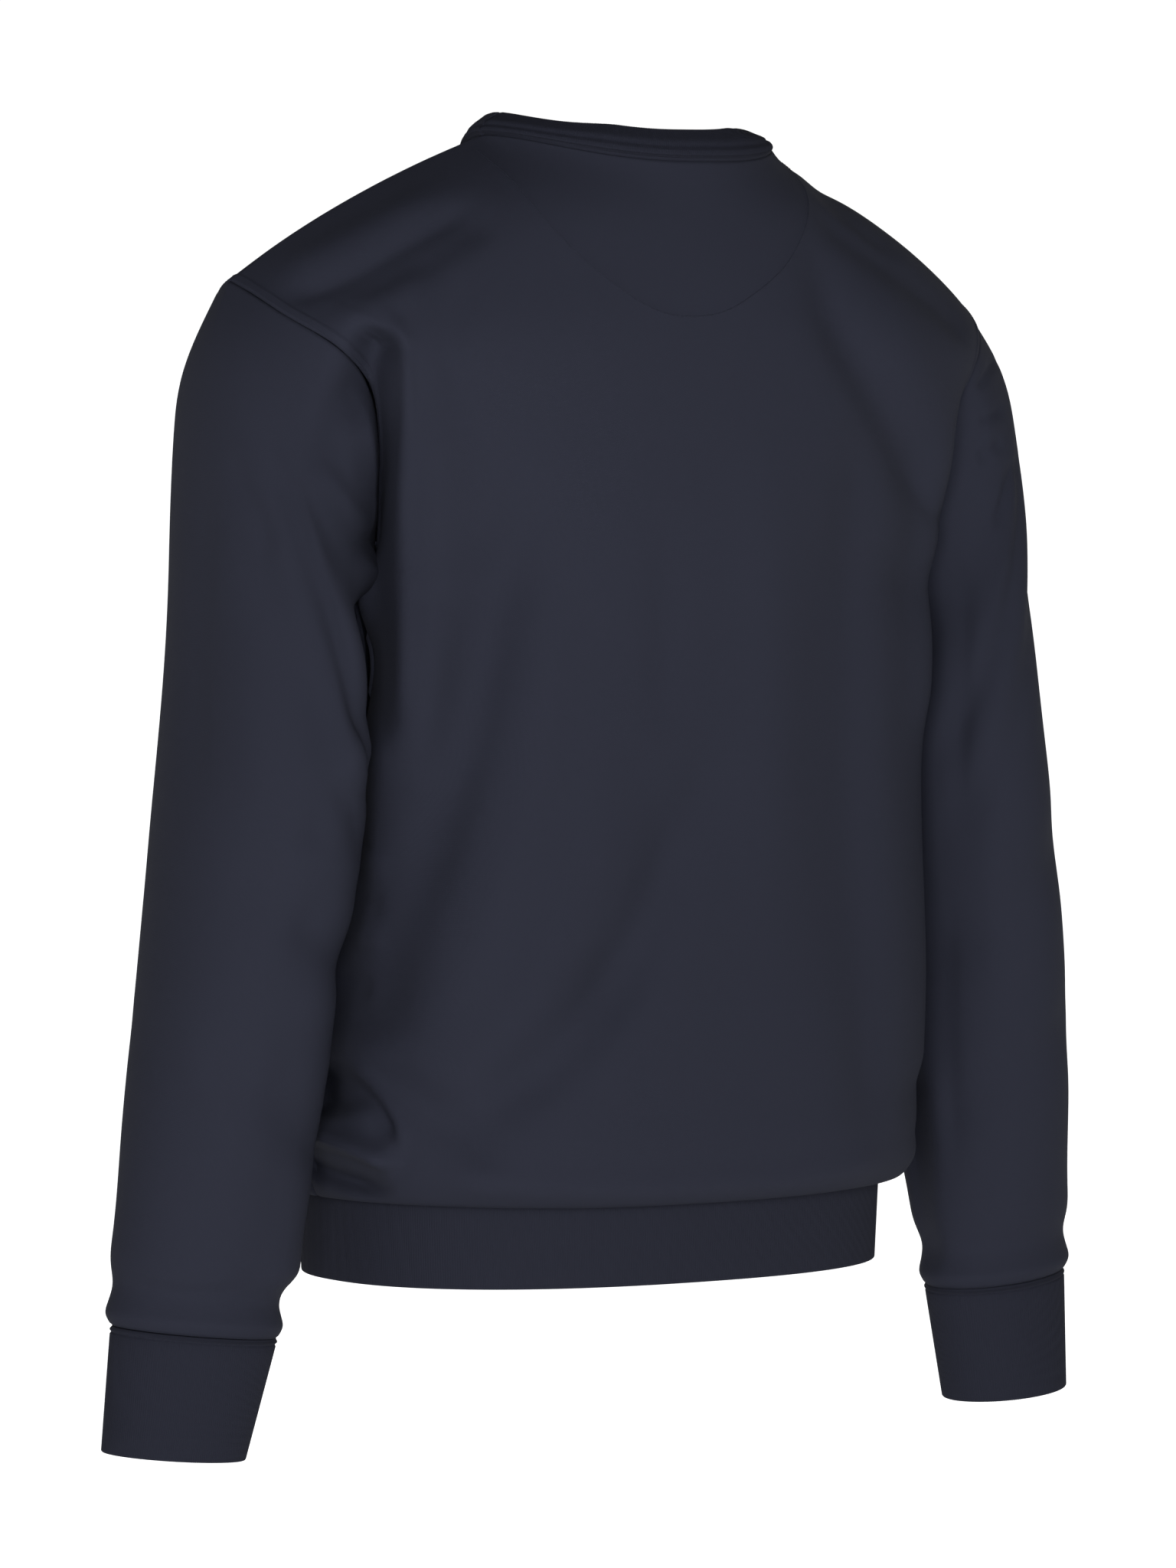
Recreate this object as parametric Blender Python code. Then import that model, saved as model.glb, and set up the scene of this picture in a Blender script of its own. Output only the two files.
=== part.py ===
"""Crewneck sweatshirt, worn out to its full form and hollow, cut and sewn from nine pieces.

Metres, +Z up. The front faces -Y and the wearer's left is +X. The origin is the middle of the
neck opening at the height where the shoulders start, which is where a wearer holds it up.

Each cloth piece is a closed wall: an outer grid of points, and an inner grid moved in by the
cloth's thickness. The rows of a panel come from a short table, one row for each section, and a
smooth curve runs through the rows. Neighbouring pieces stop SEAM_GAP apart.
"""
import math

import bpy
import numpy as np

# ---- Driving sizes ----------------------------------------------------------------------------
WALL = 0.0018            # brushed-back fleece knit
RIB_WALL = 0.0026        # doubled rib of the hem band and cuffs
NECK_WALL = 0.0030       # doubled rib of the neckband, with its seam allowance inside
FACING_WALL = 0.0010     # half-moon facing
SEAM_GAP = 0.0003
NECK_GAP = 0.0006        # wider, because the neck seam's cut end twists between its corners
HALF_GAP = SEAM_GAP / 2

NECK_HALF_WIDTH = 0.098
NECK_BACK = (0.088, -0.008)      # y and z of the neck seam at centre back
NECK_FRONT = (-0.094, -0.078)    # y and z of the neck seam at centre front
NECK_SIDE_Z = 0.008
NECK_ROUNDNESS = 2.3             # 2 dips like an ellipse, more is flatter at the middle
BAND_WIDTH = 0.020               # neckband, seam to fold
HEM_HEIGHT = 0.058

# ---- Grid counts ------------------------------------------------------------------------------
HALF_COLUMNS = 14        # panel columns from centre to side
NECK_COLUMNS = 5         # of which these lie along the neck seam
BODY_ROWS = 13           # panel rows from the hem seam to the underarm
ARM_ROWS = 12            # panel rows along the armhole
SLEEVE_ROWS = 20
RING_SPREAD = 0.01       # keeps the knots of close sleeve rings apart
CUFF_RIBS = 60
HEM_RIBS_PER_COLUMN = 2
NECK_SPLITS = 2          # neckband points for each panel column
RIB_HEIGHT = 0.0006
DENSE = 400              # samples of a curve before it is divided evenly
HANG_PLACE = 3.0         # higher puts the place where the cloth hangs out closer to the edge
RIGHT_SHOULDER_DROP = 0.006      # the wearer's right shoulder is carried this much lower

# ---- Body sections, hem to underarm: x, y, z of the side seam, then y and z at centre back and
# centre front, how square the section is (2 is an ellipse), and how far the cloth hangs out past
# the seam behind and in front of it
SIDE_SECTIONS = (
    # name        x       y       z      back_y  back_z  front_y front_z square out
    ("seam",     0.1890, -0.030, -0.6285, 0.1030, -0.6285, -0.163, -0.6285, 2.3, 0.000),
    ("under",    0.1960, -0.030, -0.6360, 0.1130, -0.6370, -0.172, -0.6350, 2.4, 0.000),
    ("roll",     0.2040, -0.030, -0.6220, 0.1220, -0.6240, -0.180, -0.6200, 2.6, 0.001),
    ("low",      0.2050, -0.030, -0.5850, 0.1260, -0.5850, -0.182, -0.5850, 2.7, 0.003),
    ("hip",      0.2000, -0.028, -0.5200, 0.1240, -0.5200, -0.178, -0.5200, 2.9, 0.007),
    ("waist",    0.1910, -0.025, -0.4300, 0.1190, -0.4300, -0.170, -0.4300, 3.0, 0.013),
    ("rib_cage", 0.1790, -0.020, -0.3500, 0.1190, -0.3450, -0.160, -0.3500, 3.1, 0.022),
    ("side_top", 0.1730, -0.016, -0.2980, 0.1220, -0.2850, -0.152, -0.2980, 3.1, 0.026),
)
UNDERARM = (0.1800, -0.015, -0.2750)
SHOULDER_TIP = (0.2570, -0.032, -0.0800)

# ---- Back panel, underarm to yoke: x, y, z on the armhole, then y, z at centre back, squareness,
# the angle in degrees at which the section meets the armhole, and how far the cloth hangs out
BACK_SECTIONS = (
    # name        x       y       z       mid_y   mid_z   square reach out
    ("underarm", *UNDERARM,              0.1250, -0.2500, 3.1, 82.0, 0.026),
    ("low",      0.1850,  0.012, -0.2500, 0.1270, -0.2180, 3.0, 74.0, 0.024),
    ("mid",      0.1940,  0.034, -0.2120, 0.1270, -0.1780, 2.8, 70.0, 0.018),
    ("blade",    0.2060,  0.054, -0.1690, 0.1240, -0.1370, 2.6, 66.0, 0.010),
    ("high",     0.2230,  0.062, -0.1330, 0.1180, -0.0980, 2.4, 64.0, 0.003),
    ("yoke",     0.2500,  0.026, -0.1020, 0.1080, -0.0620, 2.1, 66.0, 0.000),
    ("yoke_top", 0.2560, -0.010, -0.0870, 0.0970, -0.0320, 2.0, 70.0, 0.000),
)
# ---- Front panel, the same columns
FRONT_SECTIONS = (
    ("underarm", *UNDERARM,              -0.1480, -0.2720, 3.1, 82.0, 0.018),
    ("low",      0.1850, -0.046, -0.2500, -0.1450, -0.2420, 2.9, 72.0, 0.016),
    ("mid",      0.1950, -0.072, -0.2120, -0.1410, -0.2080, 2.8, 66.0, 0.012),
    ("chest",    0.2070, -0.086, -0.1690, -0.1350, -0.1750, 2.6, 64.0, 0.006),
    ("high",     0.2270, -0.084, -0.1300, -0.1260, -0.1420, 2.3, 64.0, 0.000),
    ("yoke",     0.2480, -0.064, -0.1000, -0.1150, -0.1120, 2.1, 66.0, 0.000),
    ("yoke_top", 0.2560, -0.046, -0.0860, -0.1030, -0.0910, 2.0, 70.0, 0.000),
)
# ---- Shoulder seam, neck to shoulder tip
SHOULDER_SEAM = (
    # x       y       z
    (NECK_HALF_WIDTH, 0.000, NECK_SIDE_Z),
    (0.130, -0.010, -0.0060),
    (0.170, -0.017, -0.0250),
    (0.210, -0.024, -0.0475),
    (0.238, -0.029, -0.0660),
    SHOULDER_TIP,
)
# ---- Sleeve sections below the armhole: outer and inner point, centre y, half depth, turn in degrees
SLEEVE_SECTIONS = (
    # name      out_x   out_z   in_x    in_z    mid_y  depth  turn
    ("cap",     0.2810, -0.128, 0.2050, -0.297, -0.018, 0.078, 0.0),
    ("upper",   0.2900, -0.200, 0.2030, -0.332, -0.013, 0.080, 0.0),
    ("biceps",  0.2960, -0.300, 0.2030, -0.385, -0.010, 0.081, 0.0),
    ("elbow",   0.3090, -0.400, 0.2080, -0.448, -0.011, 0.080, 4.0),
    ("forearm", 0.3240, -0.500, 0.2190, -0.526, -0.011, 0.070, 8.0),
    ("lower",   0.3365, -0.592, 0.2275, -0.607, -0.012, 0.058, 12.0),
    ("wrist",   0.3445, -0.660, 0.2370, -0.670, -0.013, 0.047, 15.0),
    ("roll",    0.3490, -0.692, 0.2395, -0.703, -0.013, 0.043, 15.0),
    ("seam",    0.3455, -0.706, 0.2435, -0.716, -0.013, 0.039, 15.0),
)
CUFF_SECTIONS = (
    ("top",     0.3455, -0.7060, 0.2435, -0.7160, -0.013, 0.0390, 15.0),
    ("bottom",  0.3500, -0.7810, 0.2620, -0.7880, -0.018, 0.0360, 15.0),
)
# ---- Large folds: start and end in x and z as seen from behind or in front, half width, height.
# A trough has a height below zero.
BACK_FOLDS = (
    # name              x0      z0      x1      z1     width  height
    ("left_armhole",    0.188, -0.185,  0.180, -0.340, 0.018, 0.007),
    ("right_armhole",  -0.186, -0.190, -0.180, -0.330, 0.018, 0.006),
    ("left_shoulder",   0.150, -0.048,  0.236, -0.098, 0.010, -0.005),
    ("right_shoulder", -0.110, -0.045, -0.200, -0.098, 0.012, -0.004),
    ("left_blade",      0.136, -0.234,  0.182, -0.420, 0.018, -0.006),
    ("sweep_high",      0.018, -0.400,  0.080, -0.500, 0.020, -0.005),
    ("sweep_low",       0.080, -0.500,  0.165, -0.590, 0.020, -0.006),
    ("right_drop",     -0.100, -0.210, -0.112, -0.570, 0.024, -0.005),
    ("right_blade",    -0.090, -0.110, -0.170, -0.220, 0.020, -0.004),
    ("left_hem",        0.196, -0.560,  0.160, -0.600, 0.012, -0.006),
)
FRONT_FOLDS = (
    ("left_armhole",    0.184, -0.190,  0.178, -0.340, 0.018, 0.005),
    ("right_armhole",  -0.184, -0.190, -0.178, -0.340, 0.018, 0.005),
    ("left_chest",      0.120, -0.180,  0.170, -0.330, 0.020, -0.005),
    ("right_chest",    -0.130, -0.190, -0.172, -0.320, 0.020, -0.005),
    ("left_sweep",      0.050, -0.420,  0.150, -0.580, 0.022, -0.006),
    ("right_sweep",    -0.030, -0.380, -0.130, -0.570, 0.024, -0.005),
    ("centre_drop",     0.010, -0.300, -0.010, -0.520, 0.026, -0.003),
)
# ---- Sleeve folds: angle round the sleeve in turns (0 underarm, 0.25 back, 0.5 outer, 0.75 front)
# and distance along it (0 armhole, 1 cuff) at each end, half width, height
SLEEVE_FOLDS = (
    # name         turn0 along0 turn1 along1 width  height
    ("cap_high",   0.34, 0.16,  0.16, 0.30,  0.035, -0.004),
    ("cap_low",    0.36, 0.27,  0.18, 0.40,  0.035, -0.003),
    ("front_cap",  0.66, 0.16,  0.86, 0.32,  0.040, -0.004),
    ("elbow",      0.06, 0.58,  0.30, 0.52,  0.040, -0.004),
    ("inner",      0.94, 0.60,  0.72, 0.55,  0.040, -0.004),
    ("forearm",    0.10, 0.76,  0.30, 0.70,  0.035, -0.003),
)
# The half-moon facing is placed by the back panel's rows and columns
HALF_MOON_REACH = 4.2            # columns to each side of centre back
HALF_MOON_TOP = 0.6              # rows below the neck seam
HALF_MOON_DEPTH = 5.0            # rows from its top to its lowest point
HALF_MOON_ROWS = 6
HALF_MOON_COLUMNS = 13
HALF_MOON_CLEAR = (0.0026, 0.0007)   # from the panel inside, at the neck and at the curved edge
HEM_DRAW_IN = 0.985

NAVY = (0.0273, 0.0300, 0.0467, 1.0)
NAVY_RIB = (0.0185, 0.0203, 0.0331, 1.0)


# ---- Curves and grids -------------------------------------------------------------------------
def divide(points, shares):
    """Points at the given shares of the length of a polyline."""
    points = np.asarray(points, dtype=float)
    steps = np.linalg.norm(np.diff(points, axis=0), axis=1)
    length = np.concatenate(([0.0], np.cumsum(steps)))
    wanted = np.asarray(shares) * length[-1]
    return np.stack([np.interp(wanted, length, points[:, k]) for k in range(3)], axis=1)


def smooth_through(knots, values, at):
    """Natural cubic spline through values (first axis runs along the knots), read at new places."""
    knots, at = np.asarray(knots, dtype=float), np.asarray(at, dtype=float)
    count = len(knots)
    gaps = np.diff(knots)
    matrix = np.eye(count)
    right = np.zeros_like(values)
    slopes = np.diff(values, axis=0) / gaps.reshape((-1,) + (1,) * (values.ndim - 1))
    for k in range(1, count - 1):
        matrix[k, k - 1:k + 2] = gaps[k - 1], 2 * (gaps[k - 1] + gaps[k]), gaps[k]
        right[k] = 6 * (slopes[k] - slopes[k - 1])
    bends = np.linalg.solve(matrix, right.reshape(count, -1)).reshape(values.shape)
    cell = np.clip(np.searchsorted(knots, at, side="right") - 1, 0, count - 2)
    shape = (-1,) + (1,) * (values.ndim - 1)
    gap = gaps[cell].reshape(shape)
    before = (at - knots[cell]).reshape(shape)
    after = gap - before
    return ((bends[cell] * after**3 + bends[cell + 1] * before**3) / (6 * gap)
            + (values[cell] / gap - bends[cell] * gap / 6) * after
            + (values[cell + 1] / gap - bends[cell + 1] * gap / 6) * before)


def curve_through(points, shares):
    """Points at shares of the length of a smooth curve through a few points."""
    points = np.asarray(points, dtype=float)
    steps = np.linalg.norm(np.diff(points, axis=0), axis=1)
    knots = np.concatenate(([0.0], np.cumsum(steps)))
    dense = smooth_through(knots, points, np.linspace(0.0, knots[-1], DENSE))
    return divide(dense, shares)


def grid_normals(grid, closed):
    """Unit normals of a grid of points; closed grids run round in their second axis."""
    if closed:
        across = np.roll(grid, -1, axis=1) - np.roll(grid, 1, axis=1)
    else:
        across = np.gradient(grid, axis=1)
    normal = np.cross(across, np.gradient(grid, axis=0))
    return normal / np.linalg.norm(normal, axis=2, keepdims=True)


def fold_relief(across, along, folds):
    """Height added by a table of straight folds: a soft bell across each, faded out past its ends."""
    height = np.zeros_like(across)
    for _, a0, b0, a1, b1, width, rise in folds:
        run_a, run_b = a1 - a0, b1 - b0
        length = math.hypot(run_a, run_b)
        off_a, off_b = across - a0, along - b0
        share = (off_a * run_a + off_b * run_b) / length**2
        side = (off_a * run_b - off_b * run_a) / length
        past = np.maximum(0.0, np.abs(share - 0.5) - 0.5) * length
        height += rise * np.exp(-(side / width) ** 2 - (past / (1.6 * width)) ** 2)
    return height


# ---- Body panels ------------------------------------------------------------------------------
def section_row(edge, mid_y, mid_z, square, reach, hang, shares):
    """One row of a panel, side to side: a squared ellipse from edge to edge through the middle,
    which hangs out most beside its edges."""
    limit = math.radians(reach)
    angle = np.linspace(-limit, limit, DENSE + 1)
    power = 2.0 / square
    out = np.sign(np.sin(angle)) * (np.abs(np.sin(angle)) / math.sin(limit)) ** power
    low = math.cos(limit) ** power
    back = (np.abs(np.cos(angle)) ** power - low) / (1 - low)
    x, y, z = edge
    lift = z + (mid_z - z) * (1 - np.abs(out) ** 1.7)
    past = hang * np.sin(math.pi * (np.abs(angle) / limit) ** HANG_PLACE) ** 2
    return divide(np.stack([x * out + past * np.sign(angle), y + (mid_y - y) * back, lift], axis=1), shares)


def neck_curve(middle):
    """Half of the neck seam, from side to centre: a quarter ellipse that sinks to the middle."""
    y, z = middle
    quarter = np.linspace(0.0, math.pi / 2, DENSE)
    sink = 1.0 - np.cos(quarter) ** NECK_ROUNDNESS
    return np.stack([NECK_HALF_WIDTH * np.cos(quarter), y * np.sin(quarter),
                     NECK_SIDE_Z + (z - NECK_SIDE_Z) * sink], axis=1)


def mirrored(points):
    """The same points on the wearer's other side, in the opposite order."""
    return (points * np.array([-1.0, 1.0, 1.0]))[::-1]


def top_row(neck_middle):
    """Shoulder seam, neck seam and the other shoulder seam as one row of points."""
    shoulder = curve_through(SHOULDER_SEAM, np.linspace(0.0, 1.0, HALF_COLUMNS - NECK_COLUMNS + 1))
    neck = divide(neck_curve(neck_middle), np.linspace(0.0, 1.0, NECK_COLUMNS + 1))
    centre_to_tip = np.concatenate([neck[::-1], shoulder[1:]])
    return np.concatenate([mirrored(centre_to_tip)[:-1], centre_to_tip])


def panel_sections(is_back):
    """All rows of a panel, hem seam to neck, before the smooth curve is run through them."""
    shares = np.linspace(0.0, 1.0, 2 * HALF_COLUMNS + 1)
    rows = []
    for _, x, y, z, back_y, back_z, front_y, front_z, square, hang in SIDE_SECTIONS:
        middle = (back_y, back_z) if is_back else (front_y, front_z)
        rows.append(section_row((x, y, z), *middle, square, 90.0, hang, shares))
    for _, x, y, z, mid_y, mid_z, square, reach, hang in (BACK_SECTIONS if is_back else FRONT_SECTIONS):
        rows.append(section_row((x, y, z), mid_y, mid_z, square, reach, hang, shares))
    rows.append(top_row(NECK_BACK if is_back else NECK_FRONT))
    return np.array(rows)


def chord_knots(points):
    """A knot for each point of a line, spaced by the straight distances between them."""
    return np.concatenate(([0.0], np.cumsum(np.linalg.norm(np.diff(points, axis=0), axis=1))))


def woven(sections, underarm):
    """Panel grid through its sections: each column is a smooth curve, divided evenly on either
    side of the underarm section."""
    columns = []
    for line in sections.transpose(1, 0, 2):
        knots = chord_knots(line)
        levels = np.concatenate([np.linspace(0.0, knots[underarm], BODY_ROWS + 1),
                                 np.linspace(knots[underarm], knots[-1], ARM_ROWS + 1)[1:]])
        columns.append(smooth_through(knots, line, levels))
    return np.array(columns).transpose(1, 0, 2)


def unit(directions):
    """Directions at unit length."""
    return directions / np.linalg.norm(directions, axis=-1, keepdims=True)


def flat(directions, axis):
    """Directions with one coordinate taken out, at unit length again."""
    kept = directions.copy()
    kept[..., axis] = 0.0
    return unit(kept)


def armhole_ring(grids, column):
    """Points of one column of both panels, round the armhole on the wearer's left from the underarm
    up the back and down the front."""
    back, front = grids[True][BODY_ROWS:, column], grids[False][BODY_ROWS:, column]
    return np.concatenate([back, front[::-1][1:-1]])


def armhole_seam(grids):
    """Unit directions along the armhole seam on the wearer's left: from the panels towards the sleeve,
    and into the garment along the cut ends that face each other."""
    edge, beside = armhole_ring(grids, -1), armhole_ring(grids, -2)
    run = unit(np.roll(edge, -1, axis=0) - np.roll(edge, 1, axis=0))
    apart = unit(sleeve_surface(edge)[1] - edge) - unit(beside - edge)
    apart = unit(apart - (apart * run).sum(axis=1, keepdims=True) * run)
    into = np.cross(apart, run)
    into = unit(into * np.sign((into * (edge.mean(axis=0) - edge)).sum()))
    corners = [0, ARM_ROWS]
    apart[corners], into[corners] = flat(apart[corners], 1), flat(into[corners], 1)
    return apart, into


def body_grids():
    """Outer and inner grids of both panels, which share their side seams exactly, and the armhole
    seam's directions."""
    grids = {is_back: woven(panel_sections(is_back), len(SIDE_SECTIONS)) for is_back in (True, False)}
    shared = (grids[True][:BODY_ROWS + 1] + grids[False][:BODY_ROWS + 1]) / 2
    across = np.linspace(-1.0, 1.0, 2 * HALF_COLUMNS + 1)
    for grid in grids.values():
        for column, side in ((0, -1.0), (-1, 1.0)):
            miss = shared[:, column] - grid[:BODY_ROWS + 1, column]
            near = np.clip(side * across, 0.0, 1.0) ** 3
            grid[:BODY_ROWS + 1] += miss[:, None, :] * near[None, :, None]
    folded = {is_back: folded_panel(grid, is_back) for is_back, grid in grids.items()}
    seam = armhole_seam(folded)
    return {is_back: panel_wall(grid, is_back, seam) for is_back, grid in folded.items()}, seam


def folded_panel(outer, is_back):
    """Outer grid of one panel with its folds, moved half a seam gap to its own side."""
    facing = 1.0 if is_back else -1.0
    relief = fold_relief(outer[..., 0], outer[..., 2], BACK_FOLDS if is_back else FRONT_FOLDS)
    outer = outer + facing_normals(outer, facing) * (relief * edge_fade())[..., None]
    return outer + [0.0, facing * HALF_GAP, 0.0]


def panel_wall(outer, is_back, seam):
    """Outer and inner grids of one panel, with its cut ends laid parallel to its neighbours'."""
    outer = outer.copy()
    inward = -facing_normals(outer, 1.0 if is_back else -1.0)
    inward[0] = flat(inward[0], 2)
    places = np.arange(ARM_ROWS + 1) * (1 if is_back else -1)
    apart, into = (directions[places] for directions in seam)
    for column, side in ((0, -1.0), (-1, 1.0)):
        inward[:BODY_ROWS, column] = flat(inward[:BODY_ROWS, column], 1)
        inward[BODY_ROWS:, column] = into * [side, 1.0, 1.0]
        outer[BODY_ROWS:, column] -= apart * [side, 1.0, 1.0] * HALF_GAP
    shoulder = np.abs(np.arange(-HALF_COLUMNS, HALF_COLUMNS + 1)) >= NECK_COLUMNS
    inward[-1, shoulder] = flat(inward[-1, shoulder], 1)
    return outer, outer + inward * WALL


def facing_normals(grid, facing):
    """Normals of a panel that point out of the body; facing is 1 for the back, -1 for the front."""
    normal = grid_normals(grid, closed=False)
    return normal * facing * np.sign(normal[:, HALF_COLUMNS, 1].mean())


def edge_fade():
    """Zero at a panel's seams, one inside: folds die out where pieces are sewn together."""
    up = np.arange(BODY_ROWS + ARM_ROWS + 1)
    across = HALF_COLUMNS - np.abs(np.arange(-HALF_COLUMNS, HALF_COLUMNS + 1))
    rows = np.clip(up / 3, 0, 1) * np.clip(up[::-1] / 3, 0, 1)
    return rows[:, None] * np.clip(across / 2, 0, 1)[None, :]


# ---- Sleeves ----------------------------------------------------------------------------------
def ring_points(section, shares):
    """One ring of a sleeve or cuff, starting at its inner point and running back, out and front."""
    _, out_x, out_z, in_x, in_z, mid_y, depth, turn = section
    middle = np.array([(out_x + in_x) / 2, mid_y, (out_z + in_z) / 2])
    half_x, half_z, angle = (out_x - in_x) / 2, (out_z - in_z) / 2, math.radians(turn)
    long_axis = np.array([half_x * math.cos(angle), -half_x * math.sin(angle), half_z])
    short_axis = depth * np.array([math.sin(angle), math.cos(angle), 0.0])
    turnings = np.linspace(0.0, 2 * math.pi, DENSE + 1)[:, None]
    return divide(middle - long_axis * np.cos(turnings) + short_axis * np.sin(turnings), shares)


def sleeve_surface(first):
    """Smooth outer grid of a sleeve, from its first ring through its sections."""
    shares = np.arange(len(first)) / len(first)
    rings = np.array([first] + [ring_points(section, shares) for section in SLEEVE_SECTIONS])
    knots = chord_knots(rings.mean(axis=1)) + np.arange(len(rings)) * RING_SPREAD
    return smooth_through(knots, rings, np.linspace(0.0, knots[-1], SLEEVE_ROWS + 1))


def sleeve_wall(edge, seam, side):
    """Outer and inner grids of a sleeve from the armhole's edge and its seam's directions; side is 1
    for the wearer's left and -1 for the right."""
    apart, into = seam
    outer = sleeve_surface(edge)
    turn = np.broadcast_to(np.arange(len(edge)) / len(edge), outer.shape[:2])
    along = np.broadcast_to(np.linspace(0.0, 1.0, SLEEVE_ROWS + 1)[:, None], outer.shape[:2])
    relief = fold_relief(turn, along, SLEEVE_FOLDS)
    relief *= np.clip(along * 10, 0, 1) * np.clip((1 - along) * 10, 0, 1)
    outer = outer + outward(outer) * relief[..., None]
    inward = -outward(outer)
    outer[0] += apart * HALF_GAP
    inward[0] = into
    inward[-1] = in_plane(inward[-1], outer[-1])
    mirror = np.array([side, 1.0, 1.0])
    return outer * mirror, (outer + inward * WALL) * mirror


def in_plane(directions, ring):
    """Directions laid into the plane of a ring, so that two rings' cut ends stay parallel."""
    middle = ring.mean(axis=0)
    axis = unit(np.cross(ring[0] - middle, ring[len(ring) // 4] - middle))
    return unit(directions - (directions @ axis)[..., None] * axis)


def outward(rings):
    """Normals of a stack of rings, turned away from each ring's middle."""
    normal = grid_normals(rings, closed=True)
    away = rings - rings.mean(axis=1, keepdims=True)
    return normal * np.sign((normal * away).sum(axis=2).mean())


# ---- Ribbed trims -----------------------------------------------------------------------------
def ribbed(rings, wall):
    """Outer and inner grids of a ribbed tube whose points lie alternately on a rib and beside it."""
    normal = outward(rings)
    normal[0] = in_plane(normal[0], rings[0])
    raised = np.where(np.arange(rings.shape[1]) % 2 == 0, RIB_HEIGHT, 0.0)[None, :, None]
    return rings + normal * raised, rings - normal * wall


def cuff_wall(side):
    """Outer and inner grids of a cuff."""
    shares = np.arange(2 * CUFF_RIBS) / (2 * CUFF_RIBS)
    top, bottom = (ring_points(section, shares) for section in CUFF_SECTIONS)
    rings = np.array([top - [0.0, 0.0, SEAM_GAP], bottom])
    mirror = np.array([side, 1.0, 1.0])
    return [grid * mirror for grid in ribbed(rings, RIB_WALL)]


def split_ring(points, parts):
    """A closed ring of points with each step divided evenly into a number of parts."""
    following = np.roll(points, -1, axis=0)
    shares = (np.arange(parts) / parts)[None, :, None]
    return (points[:, None] * (1 - shares) + following[:, None] * shares).reshape(-1, 3)


def hem_wall(body):
    """Outer and inner grids of the hem band, which hangs from the panels' lowest row."""
    back, front = body[True][0][0], body[False][0][0]
    seam = split_ring(np.concatenate([back, front[::-1][1:-1]]), 2 * HEM_RIBS_PER_COLUMN)
    top = seam - [0.0, 0.0, SEAM_GAP]
    middle = top.mean(axis=0)
    bottom = middle + (top - middle) * [HEM_DRAW_IN, HEM_DRAW_IN, 1.0] - [0.0, 0.0, HEM_HEIGHT]
    return ribbed(np.array([top, bottom]), RIB_WALL)


# Neckband profile, seam to fold: shares of the band's width along the panel's own line and
# level inwards, then how far it stands out in metres
NECK_PROFILE = (
    # on    in     out
    (0.12, 0.00, 0.0012),
    (0.30, 0.01, 0.0015),
    (0.46, 0.04, 0.0003),
    (0.60, 0.08, 0.0006),
    (0.84, 0.15, 0.0006),
    (1.00, 0.26, -0.0008),
)


def neck_wall(body):
    """Outer and inner grids of the neckband, a folded rib that goes on from the neck seam."""
    near = slice(HALF_COLUMNS - NECK_COLUMNS, HALF_COLUMNS + NECK_COLUMNS + 1)
    points, inner = [np.concatenate([body[True][k][-1, near][::-1], body[False][k][-1, near][1:-1]])
                     for k in (0, 1)]
    seam, thick = split_ring(points, NECK_SPLITS), unit(split_ring(inner - points, NECK_SPLITS))
    along = np.roll(seam, -1, axis=0) - np.roll(seam, 1, axis=0)
    onward = unit(np.cross(along, thick))
    onward *= np.sign(onward[:, 2].mean())
    level = flat(-seam, 2)
    rows = [seam + onward * NECK_GAP]
    for on, across, out in NECK_PROFILE:
        rows.append(seam + (onward * on + level * across) * BAND_WIDTH - thick * out)
    rows = np.array(rows)
    return rows, rows + thick * NECK_WALL


def half_moon_wall(body):
    """Outer and inner grids of the facing inside the back neck, made from the back panel's wall."""
    outer, inner = body[True]
    into = unit(inner - outer)
    span = np.linspace(-1.0, 1.0, HALF_MOON_COLUMNS)
    columns = HALF_COLUMNS + span * HALF_MOON_REACH
    top = BODY_ROWS + ARM_ROWS - HALF_MOON_TOP
    depth = HALF_MOON_DEPTH * np.sqrt(1 - (0.96 * span) ** 2)
    sheet, away = [], []
    for share in np.linspace(0.0, 1.0, HALF_MOON_ROWS):
        rows = top - share * depth
        sheet.append(read_grid(inner, rows, columns))
        away.append(unit(read_grid(into, np.minimum(rows, top - 1), columns)))
    sheet, away = np.array(sheet), np.array(away)
    sheet = sheet + away * np.linspace(*HALF_MOON_CLEAR, HALF_MOON_ROWS)[:, None, None]
    return sheet, sheet + away * FACING_WALL


def read_grid(grid, rows, columns):
    """Points read between the rows and columns of a grid."""
    r0, c0 = np.floor(rows).astype(int), np.floor(columns).astype(int)
    r1, c1 = np.minimum(r0 + 1, grid.shape[0] - 1), np.minimum(c0 + 1, grid.shape[1] - 1)
    fr, fc = (rows - r0)[:, None], (columns - c0)[:, None]
    return (grid[r0, c0] * (1 - fr) * (1 - fc) + grid[r1, c0] * fr * (1 - fc)
            + grid[r0, c1] * (1 - fr) * fc + grid[r1, c1] * fr * fc)


def settled(grid):
    """The grid as it is worn: the wearer's right shoulder is carried a little lower."""
    x, z = grid[..., 0], grid[..., 2]
    side = np.clip(-x / 0.12, 0.0, 1.0)
    high = np.clip((z + 0.33) / 0.27, 0.0, 1.0)
    drop = RIGHT_SHOULDER_DROP * (side**2 * (3 - 2 * side)) * (high**2 * (3 - 2 * high))
    return grid - drop[..., None] * np.array([0.0, 0.0, 1.0])


# ---- Objects ----------------------------------------------------------------------------------
def clear_scene():
    """Remove every object."""
    for old in list(bpy.data.objects):
        bpy.data.objects.remove(old, do_unlink=True)


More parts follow.
